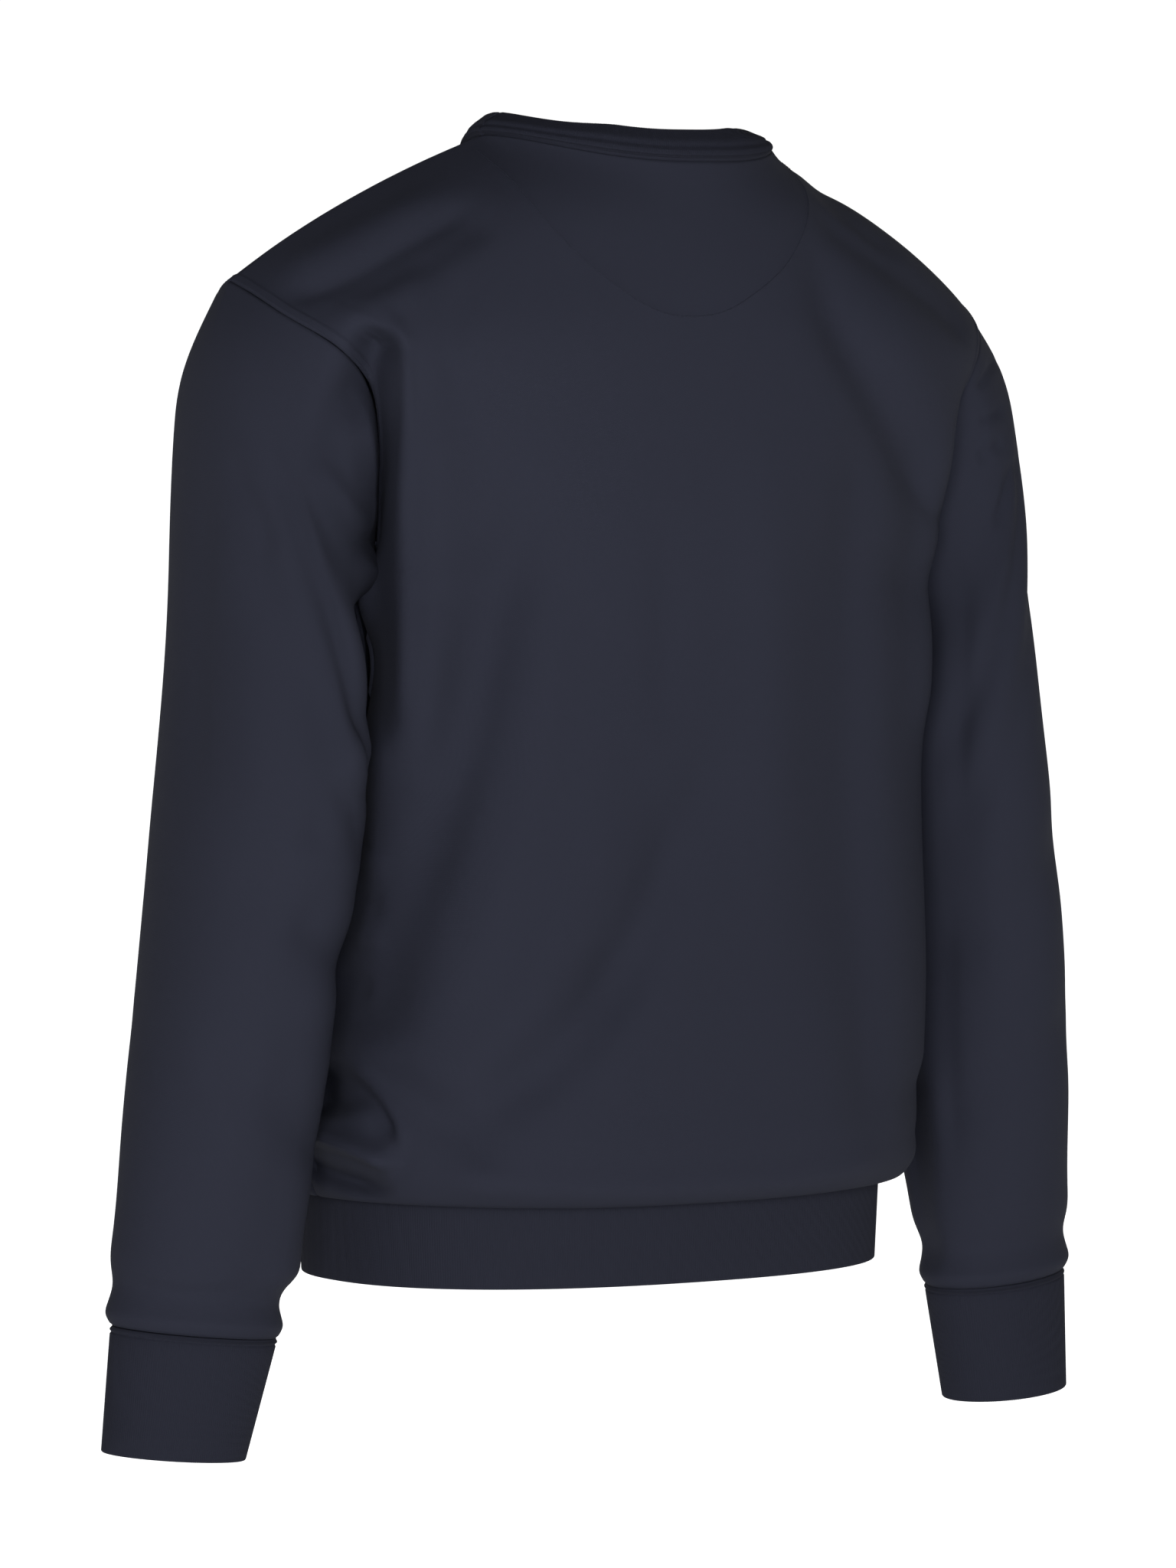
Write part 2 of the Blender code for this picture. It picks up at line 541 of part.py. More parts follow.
def make_material(name, colour, roughness):
    """A plain Principled material."""
    material = bpy.data.materials.new(name)
    material.use_nodes = True
    shader = material.node_tree.nodes["Principled BSDF"]
    shader.inputs["Base Color"].default_value = colour
    shader.inputs["Roughness"].default_value = roughness
    shader.inputs["Metallic"].default_value = 0.0
    return material


def wall_faces(rows, columns, closed):
    """Triangles of a closed wall whose outer grid's points come first and inner grid's points next.
    Both layers are split along the same diagonals, so that a twisted cell keeps its thickness."""
    def at(layer, row, column):
        return (layer * rows + row) * columns + column % columns

    def split(a, b, c, d, turned):
        return [(b, c, d), (b, d, a)] if turned else [(a, b, c), (a, c, d)]

    faces = []
    last = columns if closed else columns - 1
    for row in range(rows - 1):
        for column in range(last):
            corners = ((row, column), (row, column + 1), (row + 1, column + 1), (row + 1, column))
            for layer in (0, 1):
                pair = split(*(at(layer, *corner) for corner in corners), 2 * column >= last)
                faces += pair if layer == 0 else [face[::-1] for face in pair]
    for column in range(last):
        faces += split(at(0, 0, column + 1), at(0, 0, column), at(1, 0, column), at(1, 0, column + 1), False)
        faces += split(at(0, rows - 1, column), at(0, rows - 1, column + 1),
                       at(1, rows - 1, column + 1), at(1, rows - 1, column), False)
    if not closed:
        for row in range(rows - 1):
            faces += split(at(0, row, 0), at(0, row + 1, 0), at(1, row + 1, 0), at(1, row, 0), False)
            faces += split(at(0, row + 1, last), at(0, row, last),
                           at(1, row, last), at(1, row + 1, last), False)
    return faces


def add_wall(name, grids, closed, material):
    """Make one named object from its outer and inner grids, with its faces pointing out."""
    outer, inner = (settled(grid) for grid in grids)
    faces = wall_faces(outer.shape[0], outer.shape[1], closed)
    points = np.concatenate([outer.reshape(-1, 3), inner.reshape(-1, 3)])
    corners = points[np.array(faces)]
    if (corners[:, 0] * np.cross(corners[:, 1], corners[:, 2])).sum() < 0:     # inside out
        faces = [face[::-1] for face in faces]
    mesh = bpy.data.meshes.new(name)
    mesh.from_pydata(points.tolist(), [], faces)
    mesh.materials.append(material)
    mesh.shade_smooth()
    mesh.set_sharp_from_angle(angle=math.radians(50))
    item = bpy.data.objects.new(name, mesh)
    bpy.context.scene.collection.objects.link(item)
    return item


def build():
    """Make every piece of the sweatshirt."""
    clear_scene()
    fleece = make_material("navy_fleece", NAVY, 0.85)
    rib = make_material("navy_rib", NAVY_RIB, 0.88)
    facing = make_material("navy_facing", NAVY, 0.9)
    body, seam = body_grids()
    edge = armhole_ring({is_back: grids[0] for is_back, grids in body.items()}, -1) + seam[0] * HALF_GAP
    add_wall("back_panel", body[True], False, fleece)
    add_wall("front_panel", body[False], False, fleece)
    for word, side in (("left", 1.0), ("right", -1.0)):
        add_wall("sleeve_" + word, sleeve_wall(edge, seam, side), True, fleece)
        add_wall("cuff_" + word, cuff_wall(side), True, rib)
    add_wall("hem_band", hem_wall(body), True, rib)
    add_wall("neckband", neck_wall(body), True, rib)
    add_wall("half_moon", half_moon_wall(body), False, facing)


build()
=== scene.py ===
"""Crewneck sweatshirt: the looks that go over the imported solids.

Every cloth piece is a thin closed wall on the form of its solid. A panel or sleeve is a grid of
points: sections worked out from a short table, a smooth curve through them, and soft folds added
along the normals. Ribbed trims are folded double, with every rib in the mesh. Metres, but for the
creases, which are given in millimetres; +Z up, the front faces -Y and the wearer's left is +X.
"""

import logging
import math
from dataclasses import dataclass, field
from enum import Enum

import bpy
import numpy as np
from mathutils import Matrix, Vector

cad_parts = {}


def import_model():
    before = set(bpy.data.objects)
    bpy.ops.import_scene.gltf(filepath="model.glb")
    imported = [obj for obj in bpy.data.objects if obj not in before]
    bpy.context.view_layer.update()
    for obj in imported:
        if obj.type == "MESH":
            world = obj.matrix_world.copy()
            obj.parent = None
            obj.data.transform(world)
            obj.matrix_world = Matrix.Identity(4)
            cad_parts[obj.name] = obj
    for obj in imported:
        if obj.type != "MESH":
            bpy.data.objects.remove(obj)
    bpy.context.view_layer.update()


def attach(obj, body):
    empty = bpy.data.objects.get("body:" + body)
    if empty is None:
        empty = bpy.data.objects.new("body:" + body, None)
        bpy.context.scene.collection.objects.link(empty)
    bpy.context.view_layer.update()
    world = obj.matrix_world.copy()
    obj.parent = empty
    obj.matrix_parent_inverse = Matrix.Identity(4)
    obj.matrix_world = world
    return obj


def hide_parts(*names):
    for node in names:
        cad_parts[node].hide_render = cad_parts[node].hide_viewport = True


LOG = logging.getLogger("sweatshirt")

Array = np.ndarray
Node = bpy.types.Node
Tree = bpy.types.NodeTree
Socket = bpy.types.NodeSocket
Colour = tuple[float, float, float, float]


# ---- Choices and finishes ---------------------------------------------------------------------
class Side(Enum):
    """The wearer's side; the value is the sign of X."""

    LEFT = 1
    RIGHT = -1

    @property
    def mirror(self) -> Array:
        """Factors that carry a point of the wearer's left to this side."""
        return np.array([float(self.value), 1.0, 1.0])


class Panel(Enum):
    """A body panel; the value is the sign of Y that it faces."""

    BACK = 1
    FRONT = -1


class Knit(Enum):
    """Which face of the cloth a finish shows."""

    JERSEY = "jersey"
    BRUSHED = "brushed"
    RIB = "rib"


class View(Enum):
    """A side from which creases are placed; the value is its azimuth in degrees."""

    BEHIND = 147.0
    BEFORE = -33.0


@dataclass(frozen=True)
class ClothFinish:
    """Colours and knit sizes of one cloth face, lengths in metres."""

    name: str
    knit: Knit
    face: Colour
    # the second colour: a darker colour painted as shade into the knit's hollows, and mixed in at
    # random as uneven dye
    shade_and_dye_colour: Colour
    roughness: float
    wale: float
    course: float
    relief: float
    fuzz: float


@dataclass(frozen=True)
class Fold:
    """A soft fold: a line between two places on a piece, its half width, and its height. A trough's
    height is below zero."""

    start: tuple[float, float]
    end: tuple[float, float]
    width: float
    height: float


@dataclass(frozen=True)
class Crease:
    """A soft fold along a smooth curve through a few places, in millimetres. A trough's height is
    below zero. It rises from nothing over the share rise of its length, and falls over the share
    fall. A pushed crease moves the cloth level, towards the side it is seen from, and not along its
    normals."""

    path: tuple[tuple[float, float], ...]
    width: float
    height: float
    rise: float = 0.3
    fall: float = 0.3
    pushed: bool = False


@dataclass(frozen=True)
class BodySection:
    """A level section of the body: its side point, the depth and height of the back and front
    middles, how square it is (2 is an ellipse), and how far the cloth hangs out beside the seam."""

    side: tuple[float, float, float]
    back: tuple[float, float]
    front: tuple[float, float]
    square: float
    out: float


@dataclass(frozen=True)
class ArmholeSection:
    """A panel section that ends on the armhole: that point, the panel's middle, squareness, the
    angle in degrees at which it meets the armhole, and how far the cloth hangs out beside it."""

    edge: tuple[float, float, float]
    middle: tuple[float, float]
    square: float
    reach: float
    out: float


@dataclass(frozen=True)
class TubeSection:
    """A ring of a sleeve: outer and inner x and z, middle y, half depth, and turn in degrees."""

    outer: tuple[float, float]
    inner: tuple[float, float]
    middle_y: float
    depth: float
    turn: float


# Each finish's second colour is painted as shade into the knit's hollows, and mixed in at random as
# uneven dye.
NAVY_FACE = ClothFinish(
    "navy_fleece_face", Knit.JERSEY, (0.0109, 0.0119, 0.0185, 1.0), (0.0072, 0.0078, 0.0127, 1.0),
    roughness=0.90, wale=0.00105, course=0.00080, relief=0.00010, fuzz=0.16)
NAVY_INSIDE = ClothFinish(
    "navy_fleece_inside", Knit.BRUSHED, (0.0110, 0.0119, 0.0181, 1.0), (0.0062, 0.0068, 0.0108, 1.0),
    roughness=0.95, wale=0.00160, course=0.00120, relief=0.00018, fuzz=0.35)
NAVY_RIB = ClothFinish(
    "navy_rib", Knit.RIB, (0.0096, 0.0104, 0.0163, 1.0), (0.0048, 0.0052, 0.0086, 1.0),
    roughness=0.90, wale=0.00155, course=0.00090, relief=0.00012, fuzz=0.16)
NAVY_THREAD = ClothFinish(
    "navy_thread", Knit.JERSEY, (0.0108, 0.0117, 0.0185, 1.0), (0.0062, 0.0068, 0.0108, 1.0),
    roughness=0.75, wale=0.00030, course=0.00030, relief=0.00003, fuzz=0.05)


# ---- Sizes ------------------------------------------------------------------------------------
WALL = 0.0018
RIB_WALL = 0.0026
NECK_WALL = 0.0030
SEAM_GAP = 0.0003
NECK_GAP = 0.0006
NECK_HALF_WIDTH = 0.098
NECK_SIDE_Z = 0.008
NECK_ROUNDNESS = 2.3
NECK_MIDDLE = {Panel.BACK: (0.088, -0.008), Panel.FRONT: (-0.094, -0.078)}
BAND_WIDTH = 0.02
HEM_HEIGHT = 0.058
HEM_DRAW_IN = 0.985
RIGHT_SHOULDER_DROP = 0.006
DROP_ACROSS = 0.12       # the drop grows over this width, and from this height over this rise
DROP_FROM_Z = -0.33
DROP_UP = 0.27
UNDERARM = (0.1800, -0.0150, -0.2750)
SHOULDER_TIP = (0.2570, -0.0320, -0.0800)
RING_SPREAD = 0.01
HANG_PLACE = 3.0
RISE_POWER = 1.7         # how late a section's height leaves its middle's

HALF_COLUMNS = 14.0      # the solids' own grid, in whose rows and columns places are given
NECK_COLUMNS = 5.0
BODY_ROWS = 13.0
ARM_ROWS = 12.0
DENSE = 1200
CREASE_SAMPLES = 240
MILLIMETRES = 1000.0     # in a metre
BELL_REACH = 3.0         # a bell is nothing at this many widths
FOLD_END = 1.6           # widths over which a fold fades past its ends
TURN_AWAY = 0.35         # creases fade out where the normal points this far away from their view
RING_POINTS = 192        # points round an armhole and sleeve

BODY = (
    # side, back and front middles, square, out
    BodySection((0.1890, -0.0300, -0.6285), (0.1030, -0.6285), (-0.1630, -0.6285), 2.3, 0.000),
    BodySection((0.1960, -0.0300, -0.6360), (0.1130, -0.6370), (-0.1720, -0.6350), 2.4, 0.000),
    BodySection((0.2040, -0.0300, -0.6220), (0.1220, -0.6240), (-0.1800, -0.6200), 2.6, 0.001),
    BodySection((0.2050, -0.0300, -0.5850), (0.1260, -0.5850), (-0.1820, -0.5850), 2.7, 0.003),
    BodySection((0.2000, -0.0280, -0.5200), (0.1240, -0.5200), (-0.1780, -0.5200), 2.9, 0.007),
    BodySection((0.1910, -0.0250, -0.4300), (0.1190, -0.4300), (-0.1700, -0.4300), 3.0, 0.013),
    BodySection((0.1790, -0.0200, -0.3500), (0.1190, -0.3450), (-0.1600, -0.3500), 3.1, 0.022),
    BodySection((0.1730, -0.0160, -0.2980), (0.1220, -0.2850), (-0.1520, -0.2980), 3.1, 0.026),
)
ARMHOLE = {
    # edge, middle, square, reach, out
    Panel.BACK: (
        ArmholeSection(UNDERARM, (0.1250, -0.2500), 3.1, 82.0, 0.026),
        ArmholeSection((0.1850, 0.0120, -0.2500), (0.1270, -0.2180), 3.0, 74.0, 0.024),
        ArmholeSection((0.1940, 0.0340, -0.2120), (0.1270, -0.1780), 2.8, 70.0, 0.018),
        ArmholeSection((0.2060, 0.0540, -0.1690), (0.1240, -0.1370), 2.6, 66.0, 0.010),
        ArmholeSection((0.2230, 0.0620, -0.1330), (0.1180, -0.0980), 2.4, 64.0, 0.003),
        ArmholeSection((0.2500, 0.0260, -0.1020), (0.1080, -0.0620), 2.1, 66.0, 0.000),
        ArmholeSection((0.2560, -0.0100, -0.0870), (0.0970, -0.0320), 2.0, 70.0, 0.000),
    ),
    Panel.FRONT: (
        ArmholeSection(UNDERARM, (-0.1480, -0.2720), 3.1, 82.0, 0.018),
        ArmholeSection((0.1850, -0.0460, -0.2500), (-0.1450, -0.2420), 2.9, 72.0, 0.016),
        ArmholeSection((0.1950, -0.0720, -0.2120), (-0.1410, -0.2080), 2.8, 66.0, 0.012),
        ArmholeSection((0.2070, -0.0860, -0.1690), (-0.1350, -0.1750), 2.6, 64.0, 0.006),
        ArmholeSection((0.2270, -0.0840, -0.1300), (-0.1260, -0.1420), 2.3, 64.0, 0.000),
        ArmholeSection((0.2480, -0.0640, -0.1000), (-0.1150, -0.1120), 2.1, 66.0, 0.000),
        ArmholeSection((0.2560, -0.0460, -0.0860), (-0.1030, -0.0910), 2.0, 70.0, 0.000),
    ),
}
SHOULDER_SEAM = (
    (NECK_HALF_WIDTH, 0.000, NECK_SIDE_Z), (0.1300, -0.0100, -0.0060), (0.1700, -0.0170, -0.0250),
    (0.2100, -0.0240, -0.0475), (0.2380, -0.0290, -0.0660), SHOULDER_TIP,
)
SLEEVE = (
    # outer, inner, middle y, depth, turn
    TubeSection((0.2810, -0.1280), (0.2050, -0.2970), -0.018, 0.0780, 0.0),
    TubeSection((0.2900, -0.2000), (0.2030, -0.3320), -0.013, 0.0800, 0.0),
    TubeSection((0.2960, -0.3000), (0.2030, -0.3850), -0.010, 0.0810, 0.0),
    TubeSection((0.3090, -0.4000), (0.2080, -0.4480), -0.011, 0.0800, 4.0),
    TubeSection((0.3240, -0.5000), (0.2190, -0.5260), -0.011, 0.0700, 8.0),
    TubeSection((0.3365, -0.5920), (0.2275, -0.6070), -0.012, 0.0580, 12.0),
    TubeSection((0.3445, -0.6600), (0.2370, -0.6700), -0.013, 0.0470, 15.0),
    TubeSection((0.3490, -0.6920), (0.2395, -0.7030), -0.013, 0.0430, 15.0),
    TubeSection((0.3455, -0.7060), (0.2435, -0.7160), -0.013, 0.0390, 15.0),
)
CUFF = (
    # outer, inner, middle y, depth, turn
    TubeSection((0.3455, -0.7060), (0.2435, -0.7160), -0.013, 0.0390, 15.0),
    TubeSection((0.3500, -0.7810), (0.2620, -0.7880), -0.018, 0.0360, 15.0),
)

# Folds of the panels, in x and z. The first rows are the solids' own large folds.
PANEL_FOLDS = {
    Panel.BACK: (
        Fold((0.188, -0.185), (0.180, -0.340), 0.018, 0.007),
        Fold((-0.186, -0.190), (-0.180, -0.330), 0.018, 0.006),
        Fold((0.150, -0.048), (0.236, -0.098), 0.010, -0.005),
        Fold((-0.110, -0.045), (-0.200, -0.098), 0.012, -0.004),
        Fold((0.136, -0.234), (0.182, -0.420), 0.018, -0.006),
        Fold((0.018, -0.400), (0.080, -0.500), 0.020, -0.005),
        Fold((0.080, -0.500), (0.165, -0.590), 0.020, -0.006),
        Fold((-0.100, -0.210), (-0.112, -0.570), 0.024, -0.005),
        Fold((-0.090, -0.110), (-0.170, -0.220), 0.020, -0.004),
        Fold((0.196, -0.560), (0.160, -0.600), 0.012, -0.006),
    ),
    Panel.FRONT: (
        Fold((0.184, -0.190), (0.178, -0.340), 0.018, 0.005),
        Fold((-0.184, -0.190), (-0.178, -0.340), 0.018, 0.005),
        Fold((0.120, -0.180), (0.170, -0.330), 0.020, -0.005),
        Fold((-0.130, -0.190), (-0.172, -0.320), 0.020, -0.005),
        Fold((0.050, -0.420), (0.150, -0.580), 0.022, -0.006),
        Fold((-0.030, -0.380), (-0.130, -0.570), 0.024, -0.005),
        Fold((0.010, -0.300), (-0.010, -0.520), 0.026, -0.003),
    ),
}
# Edge of the half-moon facing: the solids' column and rows below the neck seam.
HALF_MOON_EDGE = (
    (5.50, 0.60), (5.40, 1.50), (5.28, 2.60), (5.02, 3.90), (4.10, 4.88), (2.80, 5.20), (1.40, 4.98),
    (-0.20, 4.62), (-1.50, 4.25), (-2.70, 3.85), (-3.60, 3.25), (-4.40, 2.20), (-4.80, 0.60),
)

# Creases of the panels, as seen from behind and before: millimetres to the right and up
PANEL_CREASES = {
    Panel.BACK: (
        Crease(((-144, -100), (-134, -104), (-128, -118), (-126, -187), (-128, -260), (-128, -324),
                (-131, -354)), 5, 3.5, 0.08, 0.15),
        Crease(((-138, -107), (-144, -121), (-149, -146), (-150, -192), (-148, -234), (-147, -303),
                (-149, -367)), 12.4, -24, 0.05, 0.12, pushed=True),
        Crease(((-157, -355), (-156, -419), (-161, -487), (-168, -548)),
               34.6, -16, 0.25, 0.15, pushed=True),
        Crease(((-112, -71), (-130, -88), (-153, -96), (-178, -96)), 9.1, 3),
        Crease(((-76, -29), (-99, -42), (-126, -57), (-153, -73), (-185, -86), (-209, -90)),
               8.2, -5, 0.25, 0.2),
        Crease(((-95, -20), (-140, -45), (-186, -68), (-214, -80)), 9.2, 3),
        Crease(((-85, -64), (-95, -96), (-98, -137), (-93, -173)), 10, -2.5, 0.4, 0.4),
        Crease(((-105, -150), (-103, -233), (-107, -324)), 15.5, 1.8, 0.4, 0.4),
        Crease(((-73, -228), (-77, -279), (-85, -325), (-95, -370), (-107, -407), (-119, -444),
                (-133, -485), (-144, -522), (-154, -549)), 20.2, -8, 0.3, 0.15),
        Crease(((-39, -233), (-41, -324), (-53, -393), (-71, -452), (-94, -507), (-112, -544)),
               13.7, 2.5),
        Crease(((25, -353), (29, -409), (24, -455), (9, -491), (-14, -527), (-46, -555), (-80, -576),
                (-108, -590)), 16.5, -4.8, 0.35, 0.25),
        Crease(((-7, -348), (-11, -407), (-30, -462), (-53, -507), (-85, -543), (-112, -567)),
               15.6, 2.5),
        Crease(((34, -206), (31, -261), (29, -326), (28, -363)), 12, -2.2, 0.4, 0.3),
        Crease(((130, -168), (133, -235), (130, -329), (133, -423), (137, -515), (142, -572)),
               23.3, -5),
        Crease(((83, -119), (92, -235), (95, -351), (90, -443), (72, -512)), 20.3, 2.8, 0.35, 0.35),
        Crease(((105, -23), (119, -55), (135, -101), (161, -148), (186, -198), (211, -238)),
               12.3, -4, 0.3, 0.25),
        Crease(((148, -58), (173, -101), (195, -149), (213, -189)), 13.2, 2.5, 0.35, 0.3),
        Crease(((111, -4), (130, -24), (153, -44), (180, -65)), 4.7, -3),
        Crease(((176, -188), (193, -217), (214, -238)), 5.2, -2.2, 0.4, 0.2),
        Crease(((-179, -551), (-177, -569), (-173, -587)), 12.9, -30, 0.45, 0.2, pushed=True),
        Crease(((-170, -547), (-154, -556), (-140, -572), (-130, -590), (-127, -607)),
               4.1, 3.5, 0.25, 0.25),
        Crease(((-168, -564), (-150, -573), (-140, -587), (-135, -600)), 6.4, -7),
        Crease(((-187, -594), (-163, -599), (-144, -605), (-129, -614)), 6, 13, 0.1, 0.25),
        Crease(((186, -559), (192, -595), (191, -627)), 12.3, -5, 0.35, 0.3),
        Crease(((-191, -615), (-173, -620), (-154, -624), (-131, -628)), 6, -15, 0.1, 0.4, pushed=True),
        Crease(((-112, -616), (-48, -623), (44, -626), (137, -623), (181, -617)),
               10.4, 4.5, 0.12, 0.12),
        Crease(((-154, -423), (-145, -431), (-137, -437)), 6.4, 2.5, 0.3, 0.4),
        Crease(((-161, -449), (-152, -454), (-140, -458)), 5.5, -2.5, 0.3, 0.4),
        Crease(((-160, -471), (-150, -477), (-140, -480)), 6, 2.5, 0.3, 0.4),
        Crease(((-168, -497), (-161, -505), (-149, -509)), 6.4, -2.5, 0.3, 0.4),
        Crease(((-131, -389), (-112, -384), (-98, -375)), 7.3, 1.8, 0.4, 0.4),
    ),
    Panel.FRONT: (
        Crease(((-143, -111), (-151, -130), (-153, -158), (-153, -210), (-150, -257)),
               11.3, -14, 0.1, 0.2, pushed=True),
        Crease(((-77, -59), (-115, -73), (-153, -90), (-181, -97)), 8.5, -3.5),
        Crease(((-96, -50), (-134, -64), (-176, -84)), 8.5, 2.2),
        Crease(((-73, -266), (-81, -332), (-96, -397), (-115, -463), (-134, -519)), 16, -5, 0.3, 0.2),
        Crease(((35, -332), (32, -402), (16, -472), (-16, -534), (-59, -576)), 17.8, -4.5, 0.35, 0.25),
        Crease(((-2, -346), (-12, -426), (-40, -496), (-77, -552)), 16, 2.2),
        Crease(((124, -191), (129, -285), (127, -379), (134, -496), (139, -566)), 21.6, -4),
        Crease(((73, -172), (85, -266), (82, -379), (63, -482)), 20.7, 2.2, 0.35, 0.35),
        Crease(((148, -116), (162, -153), (181, -191), (197, -228)), 12.2, -3),
        Crease(((-176, -562), (-168, -578), (-167, -597)), 10.3, -16, 0.2, 0.2, pushed=True),
        Crease(((-185, -603), (-162, -612), (-134, -627)), 6.1, 8, 0.15, 0.25),
        Crease(((-190, -622), (-157, -633), (-115, -642)), 5.6, -8, 0.15, 0.3),
        Crease(((-115, -632), (-49, -638), (45, -637), (139, -627)), 10.3, 3.5, 0.15, 0.15),
        Crease(((-115, -468), (-87, -456), (-49, -449)), 8.5, -1.8, 0.4, 0.4),
    ),
}
# Creases of the sleeves, the same way
SLEEVE_CREASES = {
    (Side.LEFT, View.BEHIND): (
        Crease(((-198, -191), (-184, -209), (-171, -232), (-160, -263)), 6.4, -2.2),
        Crease(((-235, -182), (-221, -205), (-209, -232), (-207, -252)), 6.4, -2.2),
        Crease(((-180, -187), (-162, -210), (-147, -234)), 5.5, 1.8, 0.3, 0.2),
        Crease(((-146, -236), (-149, -281), (-146, -324), (-142, -388)), 11, 14, 0.12, 0.2),
        Crease(((-149, -139), (-145, -169), (-142, -206), (-140, -234)), 6.4, 7, 0.15, 0.15),
        Crease(((-154, -141), (-150, -187), (-147, -229), (-152, -272), (-153, -324), (-157, -370),
                (-160, -416)), 13.7, 12, 0.12, 0.2, pushed=True),
        Crease(((-144, -206), (-140, -225), (-138, -237)), 4.6, 3, 0.3, 0.15),
        Crease(((-154, -250), (-136, -247)), 4.1, -3, 0.3, 0.1),
        Crease(((-247, -169), (-248, -233), (-251, -324), (-253, -414)), 10, -2),
        Crease(((-153, -374), (-170, -391), (-184, -422)), 10, -2.8),
        Crease(((-162, -429), (-180, -455), (-189, -482)), 9.1, -2),
        Crease(((-230, -278), (-216, -345), (-211, -413)), 15.4, 1.8, 0.4, 0.4),
        Crease(((-176, -507), (-193, -550), (-211, -586)), 11.8, -2, 0.4, 0.4),
        Crease(((-286, -508), (-261, -559), (-234, -595)), 12.7, -1.8, 0.4, 0.4),
        Crease(((-294, -667), (-261, -677), (-216, -673)), 6.4, 1.5),
        Crease(((-173, -554), (-183, -596), (-191, -636), (-197, -673), (-201, -698)),
               11, 8, 0.3, 0.18),
        Crease(((-149, -336), (-152, -364), (-156, -397), (-158, -425), (-163, -452), (-167, -480),
                (-176, -507), (-179, -544), (-181, -577), (-185, -605)), 13.8, 9.5, 0.1, 0.22),
    ),
    (Side.RIGHT, View.BEHIND): (
        Crease(((238, -124), (224, -144)), 2.9, -1.8, 0.3, 0.2),
        Crease(((243, -157), (224, -165)), 2.9, -1.8, 0.3, 0.2),
        Crease(((242, -176), (223, -190)), 3.3, -2.2, 0.3, 0.2),
        Crease(((249, -184), (242, -214), (234, -239)), 3.3, -3),
        Crease(((236, -199), (231, -170), (233, -141)), 5.7, 1.2),
        Crease(((235, -287), (234, -431), (241, -576)), 14.3, 2.2, 0.35, 0.35),
        Crease(((207, -455), (207, -552), (215, -653)), 7.7, -2.5, 0.35, 0.3),
        Crease(((217, -249), (215, -335), (212, -431)), 6.7, -2),
        Crease(((185, -568), (189, -616), (192, -665), (195, -719)), 7.2, -12, 0.15, 0.25, pushed=True),
    ),
    (Side.LEFT, View.BEFORE): (
        Crease(((233, -128), (222, -148)), 3.8, -1.6),
        Crease(((241, -163), (224, -187)), 3.8, -2),
        Crease(((247, -192), (239, -219), (232, -248)), 4.2, -2.4),
        Crease(((232, -294), (231, -426), (237, -557)), 14.1, 2, 0.35, 0.35),
        Crease(((204, -449), (207, -543), (214, -632)), 8.5, -2.2, 0.35, 0.3),
        Crease(((249, -332), (235, -360), (224, -397)), 7.5, -1.8),
    ),
    (Side.RIGHT, View.BEFORE): (
        Crease(((-204, -196), (-190, -214), (-171, -247)), 6.6, -2.2),
        Crease(((-242, -172), (-223, -210), (-209, -252)), 7.5, -2),
        Crease(((-237, -294), (-223, -360), (-218, -435)), 16, 1.8, 0.4, 0.4),
        Crease(((-162, -383), (-178, -407), (-193, -440)), 10.3, -2.6),
        Crease(((-171, -444), (-188, -472), (-197, -502)), 9.4, -2.2),
        Crease(((-185, -524), (-204, -566), (-223, -604)), 12.2, -2, 0.4, 0.4),
        Crease(((-284, -538), (-265, -585), (-237, -613)), 13.1, -1.8, 0.4, 0.4),
    ),
}
# Folds of the sleeves: turns round (0 underarm, 0.25 back, 0.5 outer) and share of the length
SLEEVE_FOLDS = (
    Fold((0.34, 0.16), (0.16, 0.30), 0.035, -0.004),
    Fold((0.36, 0.27), (0.18, 0.40), 0.035, -0.003),
    Fold((0.66, 0.16), (0.86, 0.32), 0.040, -0.004),
    Fold((0.06, 0.58), (0.30, 0.52), 0.040, -0.004),
    Fold((0.94, 0.60), (0.72, 0.55), 0.040, -0.004),
    Fold((0.10, 0.76), (0.30, 0.70), 0.035, -0.003),
)


# ---- Curves and grids -------------------------------------------------------------------------
def divide(points: Array, shares: Array) -> Array:
    """Points at shares of a polyline's length: each coordinate read linearly against the run length.

    Args:
        points: The polyline, one point a row.
        shares: Shares of its length, 0 to 1.

    Returns:
        The points, one a share.
    """
    points = np.asarray(points, dtype=float)
    length = run_length(points)
    wanted = np.asarray(shares) * length[-1]
    return np.stack([np.interp(wanted, length, points[:, k]) for k in range(points.shape[1])], axis=1)


def run_length(points: Array) -> Array:
    """Distance run along each line of points, whose first axis is the line, starting from zero."""
    steps = np.linalg.norm(np.diff(points, axis=0), axis=-1)
    return np.concatenate((np.zeros_like(steps[:1]), np.cumsum(steps, axis=0)))


